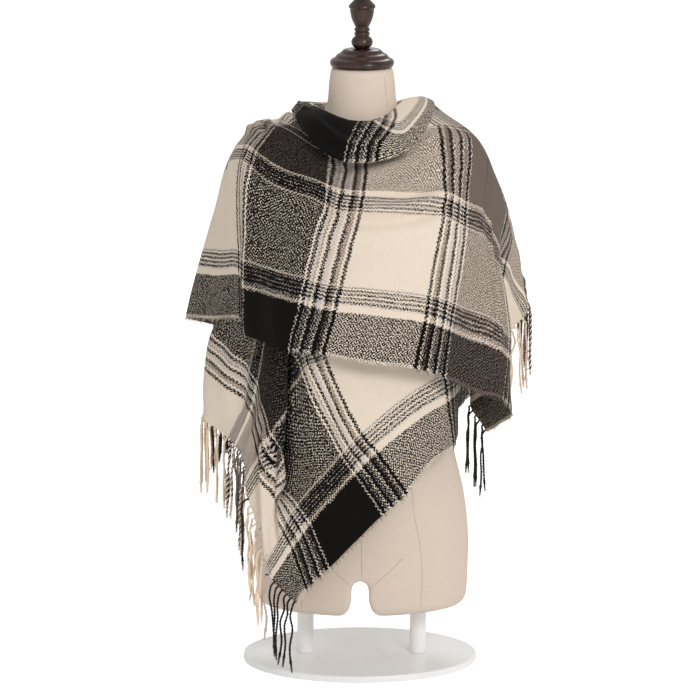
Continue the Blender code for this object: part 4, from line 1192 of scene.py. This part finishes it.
# %% The yarn material
def yarn_material():
    made, d, shader = new_material(
        "twisted_yarn", 0.9, Sheen_Weight=0.3, Sheen_Roughness=0.5, Specular_IOR_Level=0.2
    )
    across = d.value("Attribute", output="Fac", attribute_name="across")
    fibre = d.noise(d.here(), 900.0, 2.0, 0.7)
    tone = fibre * 0.35 + 0.92
    warm = d.toned(d.use(WARP, v=across)["Color"], tone, tone * 0.945, tone * 0.88)
    d.wire(shader.inputs["Base Color"], warm)
    add_bump(d, shader, fibre, strength=0.4, distance=0.0004)
    return made


YARN = yarn_material()
print("material:", YARN.name)

# %% The eight fringe pieces, each made of its strands
MARGIN, CLEAR = 0.04, 0.1
# the node's name, and where its strands begin and end on the hem, in cm
FRINGES = {
    "scarf_under_front": (HEM_A, (
        ("fringe_a_corner", 0, 6), ("fringe_a_lower", 7, 21),
        ("fringe_a_middle", 21, 39), ("fringe_a_upper", 39, 60),
    )),
    "scarf_right_end": (HEM_B, (
        ("fringe_b_corner", 0, 6.8), ("fringe_b_lower", 11.8, 20),
        ("fringe_b_upper", 20, 34), ("fringe_b_back", 34, 54),
    )),
}


def fringe_piece(name, hem, low, high):
    curve = round_curve(name, PLY)
    half = STRAND_WIDTH / 2 / CM
    end = high - MARGIN - half - CLEAR
    places = []
    v, row = hem.next_strand(low + MARGIN + half + CLEAR, end)
    while v is not None:
        add_plies(curve, *strand_path(hem, v, row, len(places)))
        places.append(v)
        v, row = hem.next_strand(v + NEXT_STRAND, end)
    piece = applied(add(name + "_curve", curve), name + "_strands")
    mesh = piece.data
    across = np.repeat([v + apart for v in places for apart in (0.0, PLY_APART)],
                       len(mesh.vertices) // (2 * len(places)))
    warp = mesh.attributes.new("across", "FLOAT", "POINT")
    warp.data.foreach_set("value", across.astype(np.float32))
    mesh.shade_smooth()
    mesh.materials.clear()
    mesh.materials.append(YARN)
    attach(piece, "root")
    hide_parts(name)
    print(name, len(places), "strands,", len(mesh.polygons), "faces")
    return piece


TRIM = {
    name: [fringe_piece(node, hem, low, high) for node, low, high in parts]
    for name, (hem, parts) in FRINGES.items()
}

# %% [markdown]
# ## Frayed selvedges
# The weft turns at the selvedge and a brushed yarn leaves short hairs there. Each is a thin
# three-sided cone, a few millimetres long, leaning a little to one side. They have a few faces
# each, because there are many. The cowl's selvedge is pressed flatter, so its hairs are shorter.
# Particle hair could do the same, but cones are plain meshes.


# %% The material of the hairs
def fray_material():
    made, d, shader = new_material("frayed_weft", 0.95, Specular_IOR_Level=0.2)
    along = d.value("Attribute", output="Fac", attribute_name="along")
    tone = d.noise(d.here(), 500.0) * 0.4 + 0.8
    d.wire(shader.inputs["Base Color"], d.toned(d.use(WEFT, u=along)["Color"], tone))
    return made


FRAYED = fray_material()
print("material:", FRAYED.name)

# %% Hairs along the free edges
FRAY_STEP, FRAY_SUNK = 0.22, 0.0006
FRAY_ROOT, FRAY_TIP = 0.00045, 0.00015
LEAN_ALONG, LEAN_OUT = 0.8, 0.35
# (the edge's v, which way is out of the cloth, the hairs' lengths in metres)
OUTER_EDGE = (0.0, -1, (0.0030, 0.0078))
COWL_EDGE = (WIDTH, 1, (0.0012, 0.0026))
FRAYS = (
    ("front", SHELL, 141.2, 178.5, OUTER_EDGE),
    ("left_side", SHELL, 123.5, 141.0, OUTER_EDGE),
    ("back", SHELL, 50.1, 123.3, OUTER_EDGE),
    ("under_right", SHELL, 38.2, 49.9, OUTER_EDGE),
    ("right_end", END, 178.9, 199.5, OUTER_EDGE),
    ("under_front", UNDER, 0.3, 38.0, OUTER_EDGE),
    ("collar_front", COWL, 123.6, 176.8, COWL_EDGE),
    ("collar_back", COWL, 56.2, 123.2, COWL_EDGE),
)


def fray_piece(name, stretch, u_low, u_high, edge_of):
    v, outward, lengths = edge_of
    us = even(u_low, u_high, FRAY_STEP)
    edge, normal = surface(stretch, us, np.array((v,)))
    inner, _ = surface(stretch, us, np.array((v - outward,)))
    bm = bmesh.new()
    along = bm.verts.layers.float.new("along")
    for i, u in enumerate(us):
        point, out = Vector(edge[i, 0]), Vector(normal[i, 0])
        away = (point - Vector(inner[i, 0])).normalized()
        run = away.cross(out).normalized()
        lean = away + run * random.uniform(-LEAN_ALONG, LEAN_ALONG)
        lean += out * random.uniform(-LEAN_OUT, LEAN_OUT)
        lean.normalize()
        length = random.uniform(*lengths)
        turn = lean.to_track_quat("Z", "Y").to_matrix().to_4x4()
        hair = bmesh.ops.create_cone(
            bm, cap_ends=True, segments=3, radius1=FRAY_ROOT, radius2=FRAY_TIP, depth=length,
            matrix=Matrix.Translation(point + lean * (length / 2 - FRAY_SUNK)) @ turn,
        )
        for vert in hair["verts"]:
            vert[along] = u
    mesh = mesh_from(bm, name)
    mesh.shade_smooth()
    mesh.materials.append(FRAYED)
    piece = add(name, mesh)
    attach(piece, "root")
    return piece


for name, *run in FRAYS:
    TRIM.setdefault("scarf_" + name, []).append(fray_piece(name + "_frays", *run))
print("fray pieces:", len(FRAYS))

# %% [markdown]
# ## The dress form
# The form is a padded torso under a tight linen cover. Oval rings give its profile, a tunnel
# parts the two leg stubs, and a fine voxel remesh with a little smoothing rounds the edges as
# padding does. The form could be sculpted too, but in rings every size stays a number.

# %% The torso
Ring = namedtuple("Ring", "z half_width front back")
FORM_RINGS = [Ring(*row) for row in (
    (8.5, 13.9, 7.8, 8.8),
    (8.9, 14.7, 8.7, 9.7),
    (9.9, 15.2, 9.3, 10.2),
    (13.5, 15.4, 9.6, 10.8),
    (18.5, 15.5, 10, 11.3),
    (25, 14.8, 10.4, 10.8),
    (32, 13.2, 10.1, 9.2),
    (41, 11.8, 8.8, 7.6),
    (49, 11.2, 8.4, 7.2),
    (56, 12.2, 9.4, 8),
    (63.5, 13.6, 11, 8.8),
    (69.5, 15.6, 9.54, 8.9),
    (74, 16.6, 7.2, 8.2),
    (76, 16.2, 6.2, 7.5),
    (77.4, 14, 5.8, 6.8),
    (78.4, 10.6, 5.4, 6.2),
    (79.3, 7.4, 5.1, 5.6),
    (80.5, 5.40, 4.92, 5.1),
    (82.2, 4.86, 4.76, 4.8),
    (84.5, 4.7, 4.6, 4.6),
    (86.9, 4.35, 4.35, 4.35),
)]
FORM_X = 0.25
SIDES, RING_STEP = 84, 1.0


def place(x, forward, z):
    return Vector((x, -forward, z)) * CM


def torso_rings():
    """Ovals at close heights, from a smooth profile through the named rings."""
    heights = [ring.z for ring in FORM_RINGS]
    levels = np.unique(np.concatenate((np.arange(heights[0], heights[-1], RING_STEP), heights)))
    return levels, through(heights, [ring[1:] for ring in FORM_RINGS], levels)


def torso():
    bm = bmesh.new()
    loops = []
    for z, (half, front, back) in zip(*torso_rings()):
        circle = bmesh.ops.create_circle(bm, segments=SIDES, radius=1.0)["verts"]
        for vert in circle:
            depth = back if vert.co.y > 0 else front
            vert.co = Vector((FORM_X + vert.co.x * half, vert.co.y * depth, z)) * CM
        loops.append(list({edge for vert in circle for edge in vert.link_edges}))
    for lower, upper in zip(loops, loops[1:]):
        bmesh.ops.bridge_loops(bm, edges=lower + upper)
    for loop in (loops[0], loops[-1]):
        bmesh.ops.contextual_create(bm, geom=loop)
    bmesh.ops.recalc_face_normals(bm, faces=bm.faces)
    return add("torso", mesh_from(bm, "torso"))


raw = torso()
print("torso before its padding:", len(raw.data.polygons), "faces")

# %% The tunnel between the leg stubs
# the mouth flares below: (height in cm, share of the flare)
ARCH_HALF, ARCH_TOP, ARCH_FLARE, ARCH_STEPS = 1.25, 14.1, 1.6, 16
ARCH_MOUTH = ((8.0, 1), (8.7, 0.75), (9.6, 0.25), (11.0, 0))
ARCH_FRONT, ARCH_DEPTH = 16.0, 0.32


def arch_cutter():
    left = [(-ARCH_HALF - ARCH_FLARE * share, z) for z, share in ARCH_MOUTH]
    turns = [pi * k / ARCH_STEPS for k in range(1, ARCH_STEPS)]
    top = [(-ARCH_HALF * cos(t), ARCH_TOP - ARCH_HALF + ARCH_HALF * sin(t)) for t in turns]
    outline = left + top + [(-x, z) for x, z in left[::-1]]
    bm = bmesh.new()
    face = bm.faces.new([bm.verts.new(place(x, ARCH_FRONT, z)) for x, z in outline])
    moved = new_points(bmesh.ops.extrude_face_region(bm, geom=[face]))
    bmesh.ops.translate(bm, verts=moved, vec=(0.0, ARCH_DEPTH, 0.0))
    bmesh.ops.recalc_face_normals(bm, faces=bm.faces)
    return add("arch", mesh_from(bm, "arch"))


arch = arch_cutter()
cut = raw.modifiers.new("arch", "BOOLEAN")
cut.operation = "DIFFERENCE"
cut.object = arch
remesh = raw.modifiers.new("padding", "REMESH")
remesh.mode = "VOXEL"
remesh.voxel_size = 0.0044
soften = raw.modifiers.new("soften", "SMOOTH")
soften.factor = 0.5
soften.iterations = 6
form = applied(raw, "form_cover")
bpy.data.objects.remove(arch, do_unlink=True)
form.data.shade_smooth()
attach(form, "root")
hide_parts("form_body")
print("form faces:", len(form.data.polygons))

# %% [markdown]
# ## Linen
# The cover is a plain linen weave with slubs, places where a thread is thicker. The cover and
# its seams share one node group, and each takes its own colour and depth of relief. Noise that
# is stretched in two directions gives the threads, because there are too many to model.


# %% The linen material
THREAD_LONG, THREAD_FINE = 60.0, 900.0
LINEN_PITCH = 2 * pi / 4200


def linen_group():
    """Threads of a plain weave in two directions, with slubs, from a place in metres."""
    tree, d, given, result = new_group(
        "linen_weave", {"Place": "Vector"}, {"Tone": "Float", "Height": "Float"}
    )
    x, y, z = d.parts(given["Place"])
    rows, columns = (
        d.noise(d.vector(x * flat, y * flat, z * upright), 1.0, 2.0)
        for flat, upright in ((THREAD_LONG, THREAD_FINE), (THREAD_FINE, THREAD_LONG))
    )
    mottle = d.noise(given["Place"], 14.0, 3.0)
    threads = (rows * 0.5 + columns * 0.5) * 0.22
    d.wire(result.inputs["Tone"], threads + mottle * 0.06 + 0.86)
    weave = (x + y).wave(LINEN_PITCH) * z.wave(LINEN_PITCH)
    d.wire(result.inputs["Height"], weave * 0.3 + (rows + columns))
    return tree


LINEN_WEAVE = linen_group()


def linen_material(name, colour, depth):
    made, d, shader = new_material(
        name, 0.88, Sheen_Weight=0.1, Sheen_Roughness=0.5, Specular_IOR_Level=0.25
    )
    weave = d.use(LINEN_WEAVE, Place=d.here())
    d.wire(shader.inputs["Base Color"], d.toned(colour, weave["Tone"]))
    add_bump(d, shader, weave["Height"], strength=depth, distance=0.0004)
    return made


LINEN = linen_material("linen", linear(224, 207, 191), 0.35)
SEAM_LINEN = linen_material("linen_seam", linear(196, 176, 158), 0.2)
form.data.materials.clear()
form.data.materials.append(LINEN)
print("materials:", LINEN.name, SEAM_LINEN.name)

# %% [markdown]
# ## Seams of the linen cover
# The cover is cut in panels: a centre seam, two curved ones beside it and two short ones from
# the hips into the arch. A sewn seam shows as a fine raised line, so a very thin cord is laid
# on the surface, half sunk, along each of them, in front and behind.

# %% Seam lines laid on the cover
SEAM_RADIUS, SEAM_STEP, SEAM_LEAST = 0.00042, 0.8, 12
RAY_START, COVER_DEPTH = 0.4, 0.01
SEAMS = (
    # (x, z) in cm from top to bottom, and the side that it lies on
    ("front", ((0.3, 48), (0.2, 30), (0.2, 20), (0.25, 13.3))),
    ("front", ((7.2, 30), (7.7, 24), (8.6, 19), (8.9, 14), (8.6, 9.2))),
    ("front", ((-6.8, 30), (-7.4, 24), (-8.3, 19), (-8.6, 14), (-8.3, 9.2))),
    ("front", ((-5.6, 17.6), (-3.6, 15.6), (-1.6, 13.8), (-0.9, 13))),
    ("front", ((6.1, 17.6), (4.1, 15.6), (2.1, 13.8), (1.4, 13))),
    ("front", ((3.4, 85.8), (3.6, 83.6), (3.9, 81.4))),
    ("back", ((0.25, 86), (0.25, 70), (0.25, 50), (0.2, 30), (0.25, 13.3))),
    ("back", ((7, 52), (7.4, 36), (8.6, 22), (8.8, 9.2))),
    ("back", ((-6.6, 52), (-7, 36), (-8.2, 22), (-8.4, 9.2))),
)


def seam_points(tree, side, line):
    """Rays from in front or behind find the cover along the line."""
    sign = -1.0 if side == "front" else 1.0
    knots = np.array([-z for _, z in line])
    count = max(SEAM_LEAST, int(abs(knots[-1] - knots[0]) / SEAM_STEP))
    for x, z in through(knots, np.array(line), np.linspace(knots[0], knots[-1], count)):
        start = Vector((x * CM, sign * RAY_START, z * CM))
        hit = tree.ray_cast(start, Vector((0.0, -sign, 0.0)))[0]
        if hit is not None and abs(hit.y) > COVER_DEPTH:
            yield hit


def seams_piece(cover):
    tree = BVHTree.FromObject(cover, bpy.context.evaluated_depsgraph_get())
    curve = round_curve("form_seams", SEAM_RADIUS)
    for side, line in SEAMS:
        add_line(curve, np.array(list(seam_points(tree, side, line))))
    piece = applied(add("form_seams_curve", curve), "form_seams")
    piece.data.shade_smooth()
    piece.data.materials.clear()
    piece.data.materials.append(SEAM_LINEN)
    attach(piece, "root")
    return piece


seams = seams_piece(form)
print("seams:", len(SEAMS), "with", len(seams.data.polygons), "faces")

# %% [markdown]
# ## Lacquered wood
# The cap is dark wood under clear lacquer. The grain is a noise that is stretched upwards, with
# finer pores over it, and a coat in the shader gives the lacquer its own sharp shine. A picture
# of wood could do it too, but it would show a join on a turned piece.


# %% The lacquered wood
WOOD_ACROSS, WOOD_ALONG = 90.0, 14.0
GRAIN, PORES, PORE_SHARE = (0.35, 0.68), (0.52, 0.7), 0.5
WOOD_DARK, WOOD_LIGHT, WOOD_PORE = linear(38, 20, 13), linear(74, 43, 29), linear(24, 14, 10)


def wood_material():
    made, d, shader = new_material(
        "dark_turned_wood", 0.34, Coat_Weight=0.35, Coat_Roughness=0.12, Specular_IOR_Level=0.4
    )
    x, y, z = d.parts(d.here())
    stretched = d.vector(x * WOOD_ACROSS, y * WOOD_ACROSS, z * WOOD_ALONG)
    rings, pores = d.noise(stretched, 1.0, 4.0, 0.6), d.noise(stretched, 9.0, 2.0, 0.7)
    shade = d.blend(rings.step(*GRAIN), WOOD_DARK, WOOD_LIGHT)
    shade = d.blend(pores.step(*PORES) * PORE_SHARE, shade, WOOD_PORE)
    d.wire(shader.inputs["Base Color"], shade)
    add_bump(d, shader, pores, strength=0.12, distance=0.0003)
    return made


WOOD = wood_material()
print("material:", WOOD.name)

# %% [markdown]
# ## Turned wood
# The neck cap and the finial are turned on a lathe. A half profile is spun round the neck's
# axis, as the lathe does it. The named points are the same as the CAD solid's. Each corner is
# cut back a little and bent, as sanding and lacquer round it.

# %% Profiles and the spin
CAP_BASE, FINIAL_BASE = 86.94, 89.48
SPIN_STEPS, CORNER_CUT, SAME_POINT = 72, 0.35, 1e-6
WOOD_CORNER = radians(48)
CAP_PROFILE = (
    (0, 0), (4.35, 0), (4.5, 0.25), (4.55, 0.65), (4.35, 1), (3.95, 1.2), (3.8, 1.3),
    (3.55, 1.65), (3.15, 1.85), (3, 1.95), (2.7, 2.3), (2.3, 2.5), (0, 2.5),
)
FINIAL_PROFILE = (
    (0, 0), (1, 0), (1.45, 0.45), (1.55, 0.95), (1.35, 1.45), (0.95, 1.75),
    (1.1, 1.95), (1.1, 2.2), (0.9, 2.35), (1.1, 2.5), (1.1, 2.75), (0.9, 2.95),
    (1.15, 3.4), (1.5, 4.2), (1.68, 5.1), (1.72, 5.6), (1.9, 5.75), (1.88, 6.05),
    (1.55, 6.4), (1.05, 6.9), (0.85, 7.4), (0.9, 8), (0.75, 8.5), (0, 8.7),
)


def rounded(profile):
    """The profile's points from the axis out and back, with its corners rounded."""
    dots = [profile[0], profile[1]]
    for before, here, after in zip(profile[1:], profile[2:], profile[3:]):
        a, b, c = (np.array(point) for point in (before, here, after))
        start, end = b + (a - b) * CORNER_CUT, b + (c - b) * CORNER_CUT
        for s in (0.0, 0.33, 0.67, 1.0):
            dots.append(tuple((1 - s) ** 2 * start + 2 * s * (1 - s) * b + s**2 * end))
    return dots + [profile[-1]]


def turned_piece(name, profile, base_z, node):
    bm = bmesh.new()
    verts = [bm.verts.new(place(FORM_X + r, 0.0, base_z + z)) for r, z in rounded(profile)]
    edges = [bm.edges.new(pair) for pair in zip(verts, verts[1:])]
    bmesh.ops.spin(
        bm, geom=verts + edges, cent=place(FORM_X, 0.0, base_z), axis=(0, 0, 1),
        angle=2 * pi, steps=SPIN_STEPS, use_merge=True,
    )
    bmesh.ops.remove_doubles(bm, verts=bm.verts, dist=SAME_POINT)
    bmesh.ops.recalc_face_normals(bm, faces=bm.faces)
    mesh = mesh_from(bm, name)
    mesh.shade_smooth()
    mesh.set_sharp_from_angle(angle=WOOD_CORNER)
    mesh.materials.append(WOOD)
    piece = add(name, mesh)
    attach(piece, "root")
    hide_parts(node)
    print(name, len(mesh.polygons), "faces")


turned_piece("cap_turned", CAP_PROFILE, CAP_BASE, "neck_cap")
turned_piece("finial_turned", FINIAL_PROFILE, FINIAL_BASE, "neck_finial")

# %% [markdown]
# ## The stand
# The base plate and the two posts are right as they are, so the CAD solids stay and only get
# their finish: white baked enamel, very slightly uneven.


# %% White enamel on the stand
def enamel_material():
    made, d, shader = new_material("white_baked_enamel", 0.32, Coat_Weight=0.3)
    cloudy, orange_peel = d.noise(d.here(), 9.0, 3.0), d.noise(d.here(), 420.0, 1.0)
    shade = d.blend(cloudy, linear(246, 246, 245), linear(252, 252, 251))
    d.wire(shader.inputs["Base Color"], shade)
    add_bump(d, shader, orange_peel, strength=0.08, distance=0.0003)
    return made


ENAMEL = enamel_material()
for obj in bpy.data.objects:
    if obj.name.startswith("stand_") and obj.type == "MESH":
        obj.data.materials.clear()
        obj.data.materials.append(ENAMEL)
        print("enamelled", obj.name)

# %% [markdown]
# ## The size of each cut
# Each piece of the scarf has the size of its cut in the table below. For each one the fringe
# and the hairs on it are looked up, and nothing more is done with them.

FLAT = {
    # piece: (width, length) in metres
    "scarf_front": (0.3765, 0.34),
    "scarf_left_side": (0.1765, 0.34),
    "scarf_right_end": (0.21, 0.54),
    "scarf_right_shoulder": (0.0856, 0.065),
    "scarf_back": (0.734, 0.34),
    "scarf_under_right": (0.119, 0.34),
    "scarf_under_front": (0.381, 0.60),
    "scarf_collar_front": (0.36, 0.12),
    "scarf_collar_back": (0.29, 0.10),
}
for name, flat in FLAT.items():
    along = TRIM.get(name, [])
    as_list(along)
print("sheets:", len(FLAT))

# %% [markdown]
# ## Studio
# A wide pale floor, a white sky and three large soft lamps: the main one high at the right, a
# faint one at the left and one behind. The floor and the sky look brighter to the camera than
# they shine on the cloth, as in a studio where the paper has its own lamps.

# %% Floor, lamps and sky
FLOOR_HALF = 40.0
# how brightly the paper and the sky shine: (on everything, and more than that in the picture)
PAPER_GLOW, SKY_GLOW = (0.18, 0.54), (0.54, 0.46)
LAMPS_AIM_AT = Vector((0.0, 0.0, 0.5))
WHITE = (1.0, 1.0, 1.0, 1.0)

view = bpy.context.scene.view_settings
view.view_transform = "Standard"
view.look = "None"


def pale_floor():
    bm = bmesh.new()
    bmesh.ops.create_grid(bm, x_segments=4, y_segments=4, size=FLOOR_HALF)
    return add("floor", mesh_from(bm, "floor"))


def glow(d, shines, seen_more):
    return d.value("LightPath", output="Is Camera Ray") * seen_more + shines


def lamp(name, at, size, power):
    data = bpy.data.lights.new(name, "AREA")
    data.shape = "DISK"
    data.size = size
    data.energy = power
    obj = add(name, data)
    obj.location = at
    obj.rotation_euler = (Vector(at) - LAMPS_AIM_AT).to_track_quat("Z", "Y").to_euler()


floor = pale_floor()
paper, paper_diagram, paper_shader = new_material("studio_paper", 0.9, Specular_IOR_Level=0.1)
paper_shader.inputs["Base Color"].default_value = (0.80, 0.80, 0.80, 1.0)
paper_shader.inputs["Emission Color"].default_value = WHITE
paper_diagram.wire(paper_shader.inputs["Emission Strength"], glow(paper_diagram, *PAPER_GLOW))
floor.data.materials.append(paper)

lamp("high_right", (1.5, -2.9, 2.3), 1.2, 49.0)
lamp("left", (-2.4, -2.2, 1.4), 1.6, 3.0)
lamp("top_back", (0.3, 2.4, 2.6), 1.6, 26.0)

sky = bpy.data.worlds.new("studio_sky")
sky.use_nodes = True
sky_diagram, background = Diagram(sky.node_tree), sky.node_tree.nodes["Background"]
background.inputs["Color"].default_value = WHITE
sky_diagram.wire(background.inputs["Strength"], glow(sky_diagram, *SKY_GLOW))
bpy.context.scene.world = sky
print("lamps:", len(bpy.data.lights))
